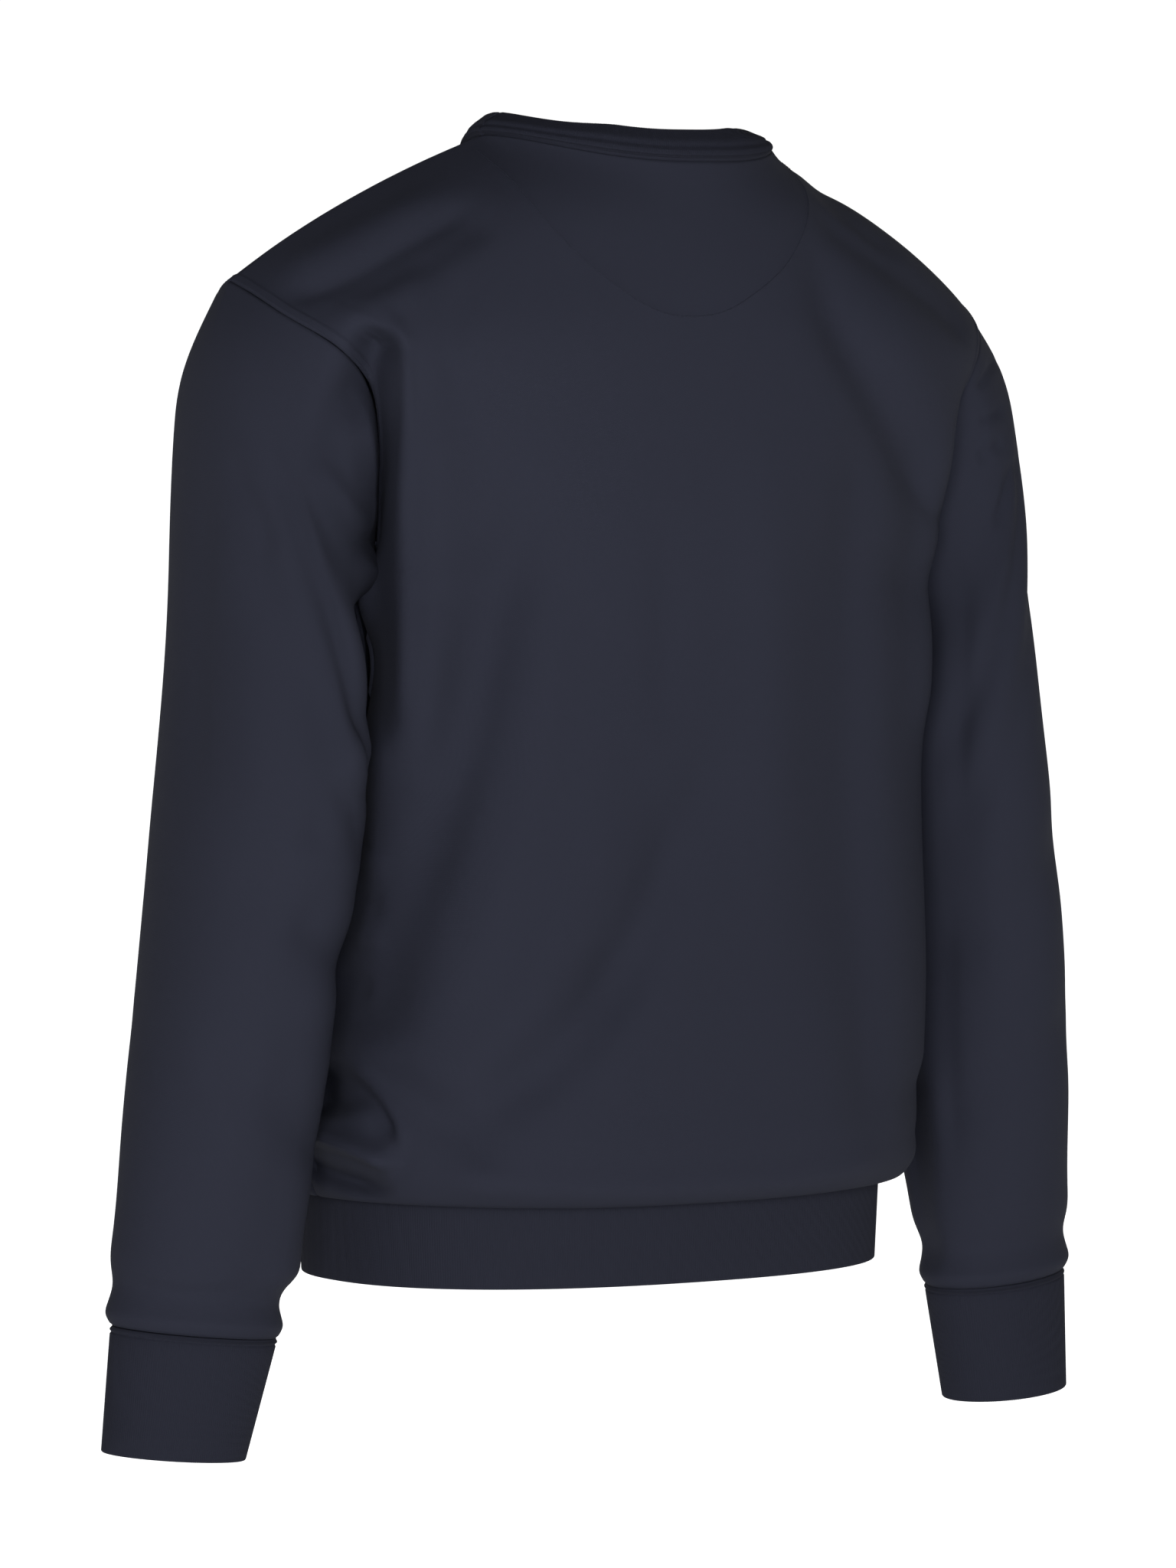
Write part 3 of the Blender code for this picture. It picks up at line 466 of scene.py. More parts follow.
def smooth_through(knots: Array, values: Array, at: Array) -> Array:
    """Natural cubic spline: its second slopes solve the usual three-term rows, and it is read cell by
    cell from the two second slopes and the two values at the cell's ends.

    Args:
        knots: Rising parameter of each value.
        values: The values, the first axis along the knots.
        at: Parameters to read at.

    Returns:
        The spline at those parameters.
    """
    knots, at = np.asarray(knots, dtype=float), np.asarray(at, dtype=float)
    count = len(knots)
    gaps = np.diff(knots)
    matrix, right = np.eye(count), np.zeros_like(values)
    slopes = np.diff(values, axis=0) / gaps.reshape((-1,) + (1,) * (values.ndim - 1))
    for k in range(1, count - 1):
        matrix[k, k - 1:k + 2] = gaps[k - 1], 2 * (gaps[k - 1] + gaps[k]), gaps[k]
        right[k] = 6 * (slopes[k] - slopes[k - 1])
    bends = np.linalg.solve(matrix, right.reshape(count, -1)).reshape(values.shape)
    cell = np.clip(np.searchsorted(knots, at, side="right") - 1, 0, count - 2)
    shape = (-1,) + (1,) * (values.ndim - 1)
    gap, before = gaps[cell].reshape(shape), (at - knots[cell]).reshape(shape)
    after = gap - before
    return ((bends[cell] * after**3 + bends[cell + 1] * before**3) / (6 * gap)
            + (values[cell] / gap - bends[cell] * gap / 6) * after
            + (values[cell + 1] / gap - bends[cell + 1] * gap / 6) * before)


def curve_through(points: Array, shares: Array) -> Array:
    """Points of a smooth curve through a few places, read evenly by run length.

    Args:
        points: The places, one a row.
        shares: Shares of the curve's length, 0 to 1.

    Returns:
        The points, one a share.
    """
    points = np.asarray(points, dtype=float)
    knots = run_length(points)
    return divide(smooth_through(knots, points, np.linspace(0.0, knots[-1], DENSE)), shares)


def unit(directions: Array) -> Array:
    """Directions at unit length."""
    return directions / np.linalg.norm(directions, axis=-1, keepdims=True)


def without(directions: Array, axis: int) -> Array:
    """Directions with one coordinate taken out, at unit length again.

    Args:
        directions: The directions.
        axis: The coordinate, 0 to 2.

    Returns:
        The level directions.
    """
    kept = directions.copy()
    kept[..., axis] = 0.0
    return unit(kept)


def smoothstep(value: Array) -> Array:
    """Soft step: zero below 0, one above 1, and 3v^2 - 2v^3 between."""
    value = np.clip(value, 0.0, 1.0)
    return value**2 * (3 - 2 * value)


def bell(distance: Array, width: float) -> Array:
    """Soft bump: e to the minus (distance over width) squared."""
    return np.exp(-(distance / width) ** 2)


def crowded(count: int, pull: float) -> Array:
    """Shares 0 to 1 that crowd towards both ends: t - pull sin(2 pi t) / (2 pi)."""
    t = np.linspace(0.0, 1.0, count + 1)
    return t - pull * np.sin(2 * math.pi * t) / (2 * math.pi)


def grid_normals(grid: Array, closed: bool) -> Array:
    """Unit normals of a grid: the cross product of its steps across and its steps along.

    Args:
        grid: The grid's points, rows first.
        closed: Whether its rows run round.

    Returns:
        A normal for each point.
    """
    if closed:
        across = np.roll(grid, -1, axis=1) - np.roll(grid, 1, axis=1)
    else:
        across = np.gradient(grid, axis=1)
    return unit(np.cross(across, np.gradient(grid, axis=0)))


def fold_relief(across: Array, along: Array, folds: tuple[Fold, ...]) -> Array:
    """Height of a table of folds: a bell across each line, faded out past its ends.

    Args:
        across: First coordinate of each grid point, as the folds' places use it.
        along: Second coordinate.
        folds: The folds.

    Returns:
        The height to add along the normal, in metres.
    """
    height = np.zeros_like(across)
    for fold in folds:
        (a0, b0), (a1, b1) = fold.start, fold.end
        run_a, run_b = a1 - a0, b1 - b0
        length = math.hypot(run_a, run_b)
        share = ((across - a0) * run_a + (along - b0) * run_b) / length**2
        side = ((across - a0) * run_b - (along - b0) * run_a) / length
        past = np.maximum(0.0, np.abs(share - 0.5) - 0.5) * length
        height += fold.height * bell(side, fold.width) * bell(past, FOLD_END * fold.width)
    return height


def crease_relief(across: Array, along: Array, creases: tuple[Crease, ...]) -> Array:
    """Height of a table of creases: for each grid place, the nearest point of the crease's curve gives
    the distance for a bell and the share of its length for its rise and fall.

    Args:
        across: First coordinate of each grid point.
        along: Second coordinate.
        creases: The creases.

    Returns:
        The height to add along the normals.
    """
    height = np.zeros_like(across)
    shares = np.linspace(0.0, 1.0, CREASE_SAMPLES)
    for crease in creases:
        curve = curve_through(np.array(crease.path) / MILLIMETRES, shares)
        width, crest = crease.width / MILLIMETRES, crease.height / MILLIMETRES
        reach = BELL_REACH * width
        low, high = curve.min(axis=0) - reach, curve.max(axis=0) + reach
        near = (across > low[0]) & (across < high[0]) & (along > low[1]) & (along < high[1])
        place = np.stack([across[near], along[near]], axis=1)
        off = np.linalg.norm(place[:, None] - curve[None], axis=2)
        share = shares[off.argmin(axis=1)]
        ends = smoothstep(share / crease.rise) * smoothstep((1 - share) / crease.fall)
        height[near] += crest * bell(off.min(axis=1), width) * ends
    return height


def settled(grid: Array) -> Array:
    """The grid as worn: the wearer's right shoulder is carried a little lower, by a soft step in x
    times a soft step in z.

    Args:
        grid: Points of any piece.

    Returns:
        The points, moved down.
    """
    beside = smoothstep(-grid[..., 0] / DROP_ACROSS)
    above = smoothstep((grid[..., 2] - DROP_FROM_Z) / DROP_UP)
    return grid - (RIGHT_SHOULDER_DROP * beside * above)[..., None] * np.array([0.0, 0.0, 1.0])


def nearest(points: Array, line: Array) -> Array:
    """Distance from each grid point to the nearest of a dense line's points, row by row of the grid."""
    return np.stack([np.linalg.norm(row[:, None] - line[None], axis=2).min(axis=1) for row in points])


def seen_relief(view: View, grid: Array, normal: Array, creases: tuple[Crease, ...]) -> Array:
    """Moves of creases placed as seen from a side, to the right and up. They fade out where the
    surface turns away, by a soft step of the normal's share towards that side.

    Args:
        view: The side.
        grid: The surface.
        normal: Its unit normals.
        creases: The creases.

    Returns:
        The move of each grid point.
    """
    angle = math.radians(view.value)
    right = grid[..., 0] * math.cos(angle) + grid[..., 1] * math.sin(angle)
    towards = np.array([math.sin(angle), -math.cos(angle), 0.0])
    seen = smoothstep(normal @ towards / TURN_AWAY + 1)
    lifted, pushed = (tuple(c for c in creases if c.pushed is kind) for kind in (False, True))
    lift, push = (crease_relief(right, grid[..., 2], some) * seen for some in (lifted, pushed))
    return normal * lift[..., None] + towards * push[..., None]


# ---- Meshes -----------------------------------------------------------------------------------
def quads(rows: int, columns: int, closed: bool) -> tuple[Array, Array]:
    """Corner indices of a grid's cells, once for its points and once for its unwrapped UVs.

    Args:
        rows: Rows of points.
        columns: Points in a row.
        closed: Whether the rows run round.

    Returns:
        Both sets of indices, four a row.
    """
    last = columns if closed else columns - 1
    row, column = np.meshgrid(np.arange(rows - 1), np.arange(last), indexing="ij")
    r = np.stack([row, row, row + 1, row + 1], axis=-1).reshape(-1, 4)
    c = np.stack([column, column + 1, column + 1, column], axis=-1).reshape(-1, 4)
    return r * columns + c % columns, r * (last + 1) + c


def make_mesh(name: str, points: Array, faces: Array, uvs: Array, slots: Array,
              materials: list[bpy.types.Material]) -> bpy.types.Object:
    """Make an object at the origin from arrays of points and quads.

    Args:
        name: Object name.
        points: One point a row.
        faces: Four indices a row.
        uvs: UV of each face corner, in metres.
        slots: Material index of each face.
        materials: The materials in slot order.

    Returns:
        The object, linked to the scene and shaded smooth.
    """
    mesh = bpy.data.meshes.new(name)
    mesh.vertices.add(len(points))
    mesh.vertices.foreach_set("co", points.astype(np.float32).ravel())
    mesh.loops.add(faces.size)
    mesh.loops.foreach_set("vertex_index", faces.astype(np.int32).ravel())
    mesh.polygons.add(len(faces))
    mesh.polygons.foreach_set("loop_start", np.arange(0, faces.size, 4, dtype=np.int32))
    for material in materials:
        mesh.materials.append(material)
    mesh.polygons.foreach_set("material_index", slots.astype(np.int32))
    mesh.update(calc_edges=True)
    layer = mesh.uv_layers.new(name="cloth")
    layer.uv.foreach_set("vector", uvs.astype(np.float32).ravel())
    mesh.shade_smooth()
    item = bpy.data.objects.new(name, mesh)
    bpy.context.scene.collection.objects.link(item)
    return item


def wall_mesh(name: str, outer: Array, inner: Array, closed: bool,
              materials: list[bpy.types.Material]) -> bpy.types.Object:
    """A closed cloth wall from its outer and inner grids: both layers and a rim of quads between
    their edges. UVs are the run lengths across and along the outer grid, in metres.

    Args:
        name: Object name.
        outer: Outer grid of points.
        inner: Inner grid of the same shape.
        closed: Whether the grid runs round in its second axis.
        materials: Outer and inner material.

    Returns:
        The object.
    """
    rows, columns = outer.shape[:2]
    count = rows * columns
    round_trip = np.concatenate([outer, outer[:, :1]], axis=1) if closed else outer
    across = run_length(round_trip.transpose(1, 0, 2)).T
    middle = round_trip.shape[1] // 2
    across = across - across[:, middle:middle + 1]
    along = np.broadcast_to(run_length(outer[:, middle:middle + 1]), across.shape)
    uv_grid = np.stack([across, along], axis=-1).reshape(-1, 2)
    cells, uv_cells = quads(rows, columns, closed)
    faces = [cells, cells[:, ::-1] + count]
    corners = [uv_cells, uv_cells[:, ::-1]]
    last = round_trip.shape[1]
    step, up = np.arange(last - 1), np.arange(rows - 1)
    edges = [(step + row * columns, (step + 1) % columns + row * columns,
              step + row * last, step + 1 + row * last, turned)
             for row, turned in ((0, True), (rows - 1, False))]
    if not closed:
        edges += [(up * columns + column, (up + 1) * columns + column) * 2 + (turned,)
                  for column, turned in ((0, False), (columns - 1, True))]
    for a, b, uv_a, uv_b, turned in edges:
        order = slice(None, None, -1 if turned else 1)
        faces.append(np.stack([a, b, b + count, a + count], axis=1)[:, order])
        corners.append(np.stack([uv_a, uv_b, uv_b, uv_a], axis=1)[:, order])
    faces_all, corners_all = np.concatenate(faces), np.concatenate(corners)
    slots = np.zeros(len(faces_all))
    slots[len(cells):2 * len(cells)] = len(materials) - 1
    points = np.concatenate([outer.reshape(-1, 3), inner.reshape(-1, 3)])
    corner = points[faces_all]
    if (corner[:, 0] * np.cross(corner[:, 1] - corner[:, 0], corner[:, 2] - corner[:, 0])).sum() < 0:
        faces_all, corners_all = faces_all[:, ::-1], corners_all[:, ::-1]
    return make_mesh(name, points, faces_all, uv_grid[corners_all], slots, materials)


def flat_area(outer: Array, closed: bool) -> tuple[float, float, float]:
    """Cut size of a grid of cloth: its greatest run across, its greatest run along, and its area.

    Args:
        outer: Outer grid of points.
        closed: Whether it runs round.

    Returns:
        Width, length and area, in metres and square metres.
    """
    grid = np.concatenate([outer, outer[:, :1]], axis=1) if closed else outer
    across = run_length(grid.transpose(1, 0, 2))[-1].max()
    along = run_length(grid)[-1].max()
    d1, d2 = grid[1:, 1:] - grid[:-1, :-1], grid[1:, :-1] - grid[:-1, 1:]
    area = np.linalg.norm(np.cross(d1, d2), axis=-1).sum() / 2
    return float(across), float(along), float(area)


# ---- Shader groups and materials --------------------------------------------------------------
LEG_LEAN = 0.8                       # courses by which a wale's legs rise from its middle
COURSE_WAVE = 0.22                   # how far the height falls between courses
NAP_SCALES = (2600.0, 420.0, 16.0)   # fibres, clumps and dye, in cycles a metre
BRUSHED_FLAT = 0.85                  # how much of the knit the nap hides on a brushed face
SPECULAR = 0.06
HOLLOW_SHADE = 0.45                  # shares of the darker colour painted as shade in the knit's hollows, and mixed in by the uneven dye
TONE_SHADE = 0.5


class ShaderTree:
    """Short calls that add nodes to a material's or group's tree."""

    per_row: int = 10
    column_width: int = 180
    row_height: int = 220

    def __init__(self, tree: Tree) -> None:
        """Keep the tree and start a layout column."""
        self.tree = tree
        self.step = 0

    def add(self, kind: str, **values: object) -> Node:
        """Add a node and place it in the next column.

        Args:
            kind: Blender's name for the node's type.
            values: Properties to set.

        Returns:
            The node.
        """
        node = self.tree.nodes.new(kind)
        for key, value in values.items():
            setattr(node, key, value)
        row, column = divmod(self.step, self.per_row)
        node.location = column * self.column_width, -row * self.row_height
        self.step += 1
        return node

    def link(self, source: Socket, target: Socket) -> None:
        """Join two sockets."""
        self.tree.links.new(source, target)

    def maths(self, operation: str, *inputs: Socket | float) -> Socket:
        """Add a Math node.

        Args:
            operation: What it works out.
            inputs: Sockets or numbers.

        Returns:
            Its output.
        """
        node = self.add("ShaderNodeMath", operation=operation)
        for place, value in enumerate(inputs):
            if isinstance(value, (int, float)):
                node.inputs[place].default_value = value
            else:
                self.link(value, node.inputs[place])
        return node.outputs[0]

    def noise(self, vector: Socket, scale: float, detail: float) -> Socket:
        """Add smooth noise, 0 to 1.

        Args:
            vector: Place to read it at.
            scale: Cycles a metre.
            detail: Finer layers on top.

        Returns:
            The noise.
        """
        node = self.add("ShaderNodeTexNoise", noise_dimensions="3D")
        node.inputs["Scale"].default_value = scale
        node.inputs["Detail"].default_value = detail
        self.link(vector, node.inputs["Vector"])
        return node.outputs["Fac"]

    def mix(self, share: Socket, first: Socket | Colour, second: Socket | Colour) -> Socket:
        """Add a colour mix.

        Args:
            share: Share of the second colour.
            first: The first colour, or its socket.
            second: The second colour, or its socket.

        Returns:
            The mixed colour.
        """
        node = self.add("ShaderNodeMix", data_type="RGBA")
        self.link(share, node.inputs["Factor"])
        for place, value in ((6, first), (7, second)):
            if isinstance(value, tuple):
                node.inputs[place].default_value = value
            else:
                self.link(value, node.inputs[place])
        return node.outputs[2]


def new_group(name: str, inputs: tuple[tuple[str, str], ...],
              outputs: tuple[tuple[str, str], ...]) -> tuple[Tree, ShaderTree, Node, Node]:
    """Start a shader node group with named sockets.

    Args:
        name: Group name.
        inputs: Name and socket type of each input.
        outputs: Name and socket type of each output.

    Returns:
        The group, its helper, and its input and output nodes.
    """
    group = bpy.data.node_groups.new(name, "ShaderNodeTree")
    for in_out, sockets in (("INPUT", inputs), ("OUTPUT", outputs)):
        for label, kind in sockets:
            group.interface.new_socket(label, in_out=in_out, socket_type=kind)
    helper = ShaderTree(group)
    return group, helper, helper.add("NodeGroupInput"), helper.add("NodeGroupOutput")


def knit_group() -> Tree:
    """Knitted face: each wale is two legs that lean together, so the height over one wale is
    1 - (2a - 1)^2 with a the distance from the wale's middle, times a wave along the course that is
    shifted by a. Flat makes the legs vanish for a brushed back.

    Returns:
        The group, which puts out the height and, as its opposite, the hollow.
    """
    value, vector = "NodeSocketFloat", "NodeSocketVector"
    group, tree, given, result = new_group(
        "knit_face", (("Cloth", vector), ("Wale", value), ("Course", value), ("Flat", value)),
        (("Height", value), ("Hollow", value)))
    split = tree.add("ShaderNodeSeparateXYZ")
    tree.link(given.outputs["Cloth"], split.inputs[0])
    column = tree.maths("FRACT", tree.maths("DIVIDE", split.outputs["X"], given.outputs["Wale"]))
    apart = tree.maths("ABSOLUTE", tree.maths("MULTIPLY_ADD", column, 2.0, -1.0))
    legs = tree.maths("SUBTRACT", 1.0, tree.maths("POWER", tree.maths("ABSOLUTE", tree.maths(
        "MULTIPLY_ADD", apart, 2.0, -1.0)), 2.0))
    row = tree.maths("ADD", tree.maths("DIVIDE", split.outputs["Y"], given.outputs["Course"]),
                     tree.maths("MULTIPLY", apart, LEG_LEAN))
    turn = tree.maths("SINE", tree.maths("MULTIPLY", row, 2 * math.pi))
    wave = tree.maths("MULTIPLY_ADD", turn, COURSE_WAVE, 1.0 - COURSE_WAVE)
    stitch = tree.maths("MULTIPLY", legs, wave)
    kept = tree.maths("MULTIPLY", stitch, tree.maths("SUBTRACT", 1.0, given.outputs["Flat"]))
    tree.link(kept, result.inputs["Height"])
    tree.link(tree.maths("SUBTRACT", 1.0, kept), result.inputs["Hollow"])
    return group


def nap_group() -> Tree:
    """Fuzz and uneven dye: fine noise for loose fibres and broad noise for the cloth's tone.

    Returns:
        The group, which puts out the height and the tone.
    """
    value, vector = "NodeSocketFloat", "NodeSocketVector"
    group, tree, given, result = new_group("nap", (("Place", vector), ("Fuzz", value)),
                                           (("Height", value), ("Tone", value)))
    fine, clumps, broad = (tree.noise(given.outputs["Place"], scale, 2.0) for scale in NAP_SCALES)
    both = tree.maths("MULTIPLY_ADD", clumps, 0.6, tree.maths("MULTIPLY", fine, 0.4))
    tree.link(tree.maths("MULTIPLY", both, given.outputs["Fuzz"]), result.inputs["Height"])
    tone = tree.maths("MULTIPLY_ADD", broad, 0.6, tree.maths("MULTIPLY", both, 0.4))
    tree.link(tree.maths("MULTIPLY_ADD", tree.maths("SUBTRACT", tone, 0.5), given.outputs["Fuzz"], 0.5),
              result.inputs["Tone"])
    return group


class Wardrobe:
    """Every cloth material, made once from its finish."""

    def __init__(self) -> None:
        """Build the shared groups and the materials."""
        self.knit = knit_group()
        self.nap = nap_group()
        self.face = self.cloth(NAVY_FACE)
        self.inside = self.cloth(NAVY_INSIDE)
        self.rib = self.cloth(NAVY_RIB)
        self.thread = self.cloth(NAVY_THREAD)

    def cloth(self, finish: ClothFinish) -> bpy.types.Material:
        """A knitted cloth's material.

        Args:
            finish: Its colours and knit sizes.

        Returns:
            The material.
        """
        material = bpy.data.materials.new(finish.name)
        material.use_nodes = True
        tree = ShaderTree(material.node_tree)
        shader = material.node_tree.nodes["Principled BSDF"]
        shader.inputs["Roughness"].default_value = finish.roughness
        shader.inputs["Specular IOR Level"].default_value = SPECULAR
        cloth = tree.add("ShaderNodeUVMap", uv_map="cloth")
        place = tree.add("ShaderNodeTexCoord")
        knit = tree.add("ShaderNodeGroup", node_tree=self.knit)
        knit.inputs["Wale"].default_value = finish.wale
        knit.inputs["Course"].default_value = finish.course
        knit.inputs["Flat"].default_value = BRUSHED_FLAT if finish.knit is Knit.BRUSHED else 0.0
        tree.link(cloth.outputs["UV"], knit.inputs["Cloth"])
        nap = tree.add("ShaderNodeGroup", node_tree=self.nap)
        nap.inputs["Fuzz"].default_value = finish.fuzz
        tree.link(place.outputs["Object"], nap.inputs["Place"])
        # Painted shade: the darker colour goes into the knit's hollows, and the uneven dye mixes in
        # more of it at random.
        hollow_and_dye_share = tree.maths("MULTIPLY", knit.outputs["Hollow"], HOLLOW_SHADE)
        hollow_and_dye_share = tree.maths("MULTIPLY_ADD", nap.outputs["Tone"], TONE_SHADE, hollow_and_dye_share)
        tree.link(tree.mix(hollow_and_dye_share, finish.face, finish.shade_and_dye_colour), shader.inputs["Base Color"])
        bump = tree.add("ShaderNodeBump")
        bump.inputs["Strength"].default_value = 1.0
        bump.inputs["Distance"].default_value = finish.relief
        height = tree.maths("ADD", knit.outputs["Height"], nap.outputs["Height"])
        tree.link(height, bump.inputs["Height"])
        tree.link(bump.outputs["Normal"], shader.inputs["Normal"])
        return material


# ---- Body panels ------------------------------------------------------------------------------
@dataclass
class BodyForm:
    """Both body panels' walls, which share their side seams."""

    columns: int = 200
    rows: int = 172
    seam_pull: float = 0.72
    dip: float = 0.0011          # how deep the cloth turns in at a seam
    dip_width: float = 0.0013
    welt: float = 0.0005         # seam allowance that lifts the cloth beside an armhole
    welt_reach: float = 0.0075
    welt_edges: tuple[float, float] = (0.002, 0.0015)   # how softly it rises and falls
    welt_ramp: float = 0.6       # rows over which it starts at the underarm
    # rows and columns over which folds and creases rise from the seams, and creases run on over the
    # wearer's left armhole
    fold_ramp: tuple[float, float] = (3.0, 2.0)
    crease_ramp: tuple[float, float] = (0.35, 0.5)
    armhole_ramp: float = 1.5
    ridge: float = 0.0005        # how far the facing's sewn edge shows on the back
    ridge_width: float = 0.0016
    armhole_rows_off: tuple[float, float] = (0.0024, 0.0060)
    facing_stitch: float = 1.7   # thickness of the facing's stitches, in usual ones

    def __post_init__(self) -> None:
        """Work out both panels."""
        self.across = (crowded(self.columns, self.seam_pull) * 2 - 1) * HALF_COLUMNS
        self.up = crowded(self.rows, self.seam_pull) * (BODY_ROWS + ARM_ROWS)
        base = {panel: self.woven(panel) for panel in Panel}
        self.share_sides(base)
        folded = {panel: self.folded(panel, base[panel]) for panel in Panel}
        self.ring_up = self.armhole_rows()
        self.seams = {side: self.armhole_seam(folded, side) for side in Side}
        self.plain: dict[Panel, tuple[Array, Array]] = {}
        self.walls = {panel: self.wall(panel, folded[panel]) for panel in Panel}
        self.armholes = {side: self.ring(folded, side, HALF_COLUMNS) for side in Side}

    def share_sides(self, grids: dict[Panel, Array]) -> None:
        """Bring both panels to one side seam below the underarm: what each misses of their mean at its
        edge is added over the whole row, by the cube of the place across.

        Args:
            grids: Both panels' grids, which are changed.
        """
        body = self.up <= BODY_ROWS
        shared = (grids[Panel.BACK][body] + grids[Panel.FRONT][body]) / 2
        for grid in grids.values():
            for column, side in ((0, Side.RIGHT), (-1, Side.LEFT)):
                miss = np.zeros((len(self.up), 3))
                miss[body] = shared[:, column] - grid[body, column]
                near = np.clip(side.value * self.across / HALF_COLUMNS, 0.0, 1.0) ** 3
                grid += miss[:, None] * near[None, :, None]

    def armhole_rows(self) -> Array:
        """Rows, in the solids' count, of the points round an armhole: up the back, down the front."""
        shares = np.arange(RING_POINTS) / RING_POINTS
        return BODY_ROWS + 2 * ARM_ROWS * np.minimum(shares, 1 - shares)

    def ring(self, grids: dict[Panel, Array], side: Side, column: float) -> Array:
        """Points of both panels round an armhole, at one column, turned to the wearer's left.

        Args:
            grids: Both panels' outer grids.
            side: Which armhole.
            column: The solids' column, counted from the panel's middle.

        Returns:
            The points, from the underarm up the back.
        """
        columns = np.full(RING_POINTS, column * side.value)
        back, front = (self.read(grids[panel], self.ring_up, columns) for panel in Panel)
        points = np.where((np.arange(RING_POINTS) <= RING_POINTS // 2)[:, None], back, front)
        return points * side.mirror

    def armhole_seam(self, grids: dict[Panel, Array], side: Side) -> tuple[Array, Array]:
        """Unit directions round an armhole, turned to the wearer's left: from the panels towards the
        sleeve, which is the sleeve's way on less the panel's, and into the garment along the cut ends,
        which is square to that and to the seam.

        Args:
            grids: Both panels' outer grids.
            side: Which armhole.

        Returns:
            The two sets of directions.
        """
        edge, beside = (self.ring(grids, side, HALF_COLUMNS - off) for off in (0, 1))
        step = RING_POINTS // int(2 * ARM_ROWS)
        run = unit(np.roll(edge, -step, axis=0) - np.roll(edge, step, axis=0))
        apart = unit(sleeve_surface(edge, np.array([0.0, 0.05]))[1] - edge) - unit(beside - edge)
        apart = unit(apart - (apart * run).sum(axis=1, keepdims=True) * run)
        into = np.cross(apart, run)
        into = unit(into * np.sign((into * (edge.mean(axis=0) - edge)).sum()))
        return apart, into

    def section(self, edge: tuple[float, float, float], middle: tuple[float, float], square: float,
                reach: float, hang: float) -> Array:
        """One row of a panel: a squared ellipse from edge to edge. Across goes with sin^(2/square) of
        the angle and depth with cos^(2/square); height eases from the edge to the middle. Beside the
        edges it hangs out by sin^2 of pi times (angle over reach)^place.

        Args:
            edge: Its end on the wearer's left.
            middle: Depth and height at the panel's middle.
            square: Squareness, 2 for an ellipse.
            reach: Angle at the ends, in degrees.
            hang: How far it hangs out beside its edges.

        Returns:
            Its points at the grid's columns.
        """
        limit = math.radians(reach)
        angle = np.linspace(-limit, limit, DENSE + 1)
        power = 2.0 / square
        out = np.sign(np.sin(angle)) * (np.abs(np.sin(angle)) / math.sin(limit)) ** power
        low = math.cos(limit) ** power
        back = (np.abs(np.cos(angle)) ** power - low) / (1 - low)
        x, y, z = edge
        lift = z + (middle[1] - z) * (1 - np.abs(out) ** RISE_POWER)
        past = hang * np.sin(math.pi * (np.abs(angle) / limit) ** HANG_PLACE) ** 2 * np.sign(angle)
        line = np.stack([x * out + past, y + (middle[0] - y) * back, lift], axis=1)
        return divide(line, (self.across / HALF_COLUMNS + 1) / 2)

    def top_row(self, panel: Panel) -> Array:
        """Shoulder seam, neck seam and the other shoulder seam. The neck is a quarter ellipse each
        side, which sinks to the middle by 1 - cos^roundness.

        Args:
            panel: Which panel.

        Returns:
            The points at the grid's columns.
        """
        y, z = NECK_MIDDLE[panel]
        quarter = np.linspace(0.0, math.pi / 2, DENSE)
        sink = 1.0 - np.cos(quarter) ** NECK_ROUNDNESS
        neck = np.stack([NECK_HALF_WIDTH * np.cos(quarter), y * np.sin(quarter),
                         NECK_SIDE_Z + (z - NECK_SIDE_Z) * sink], axis=1)[::-1]
        off = np.abs(self.across)
        on_neck = divide(neck, np.clip(off / NECK_COLUMNS, 0, 1))
        past = np.clip((off - NECK_COLUMNS) / (HALF_COLUMNS - NECK_COLUMNS), 0, 1)
        line = np.where((off <= NECK_COLUMNS)[:, None], on_neck, curve_through(SHOULDER_SEAM, past))
        line[:, 0] *= np.sign(self.across)
        return line

    def woven(self, panel: Panel) -> Array:
        """Panel grid: a smooth curve through the sections in every column, its rows spread evenly by
        run length below and above the underarm.

        Args:
            panel: Which panel.

        Returns:
            The grid.
        """
        rows = [self.section(s.side, s.back if panel is Panel.BACK else s.front, s.square, 90.0, s.out)
                for s in BODY]
        rows += [self.section(s.edge, s.middle, s.square, s.reach, s.out) for s in ARMHOLE[panel]]
        rows.append(self.top_row(panel))
        lines = np.array(rows)
        underarm = len(BODY)
        columns = []
        for line in lines.transpose(1, 0, 2):
            knots = run_length(line)
            low = np.clip(self.up / BODY_ROWS, 0, 1) * knots[underarm]
            high = np.clip((self.up - BODY_ROWS) / ARM_ROWS, 0, 1) * (knots[-1] - knots[underarm])
            columns.append(smooth_through(knots, line, low + high))
        return np.array(columns).transpose(1, 0, 2)

    def fade(self, rows: float, columns: float) -> Array:
        """Zero at a panel's seams and one inside them, by a straight ramp over a number of the solids'
        rows and columns.

        Args:
            rows: Rows over which it rises from the hem seam and falls to the top.
            columns: Columns over which it rises from the sides.

        Returns:
            A factor for each grid point.
        """
        up = np.clip(self.up / rows, 0, 1) * np.clip((BODY_ROWS + ARM_ROWS - self.up) / rows, 0, 1)
        across = np.clip((HALF_COLUMNS - np.abs(self.across)) / columns, 0, 1)
        return up[:, None] * across[None, :]

    def normals(self, panel: Panel, grid: Array) -> Array:
        """Normals of a panel's grid, out of the body."""
        normal = grid_normals(grid, False)
        return normal * np.sign(normal[:, self.columns // 2, 1].mean()) * float(panel.value)

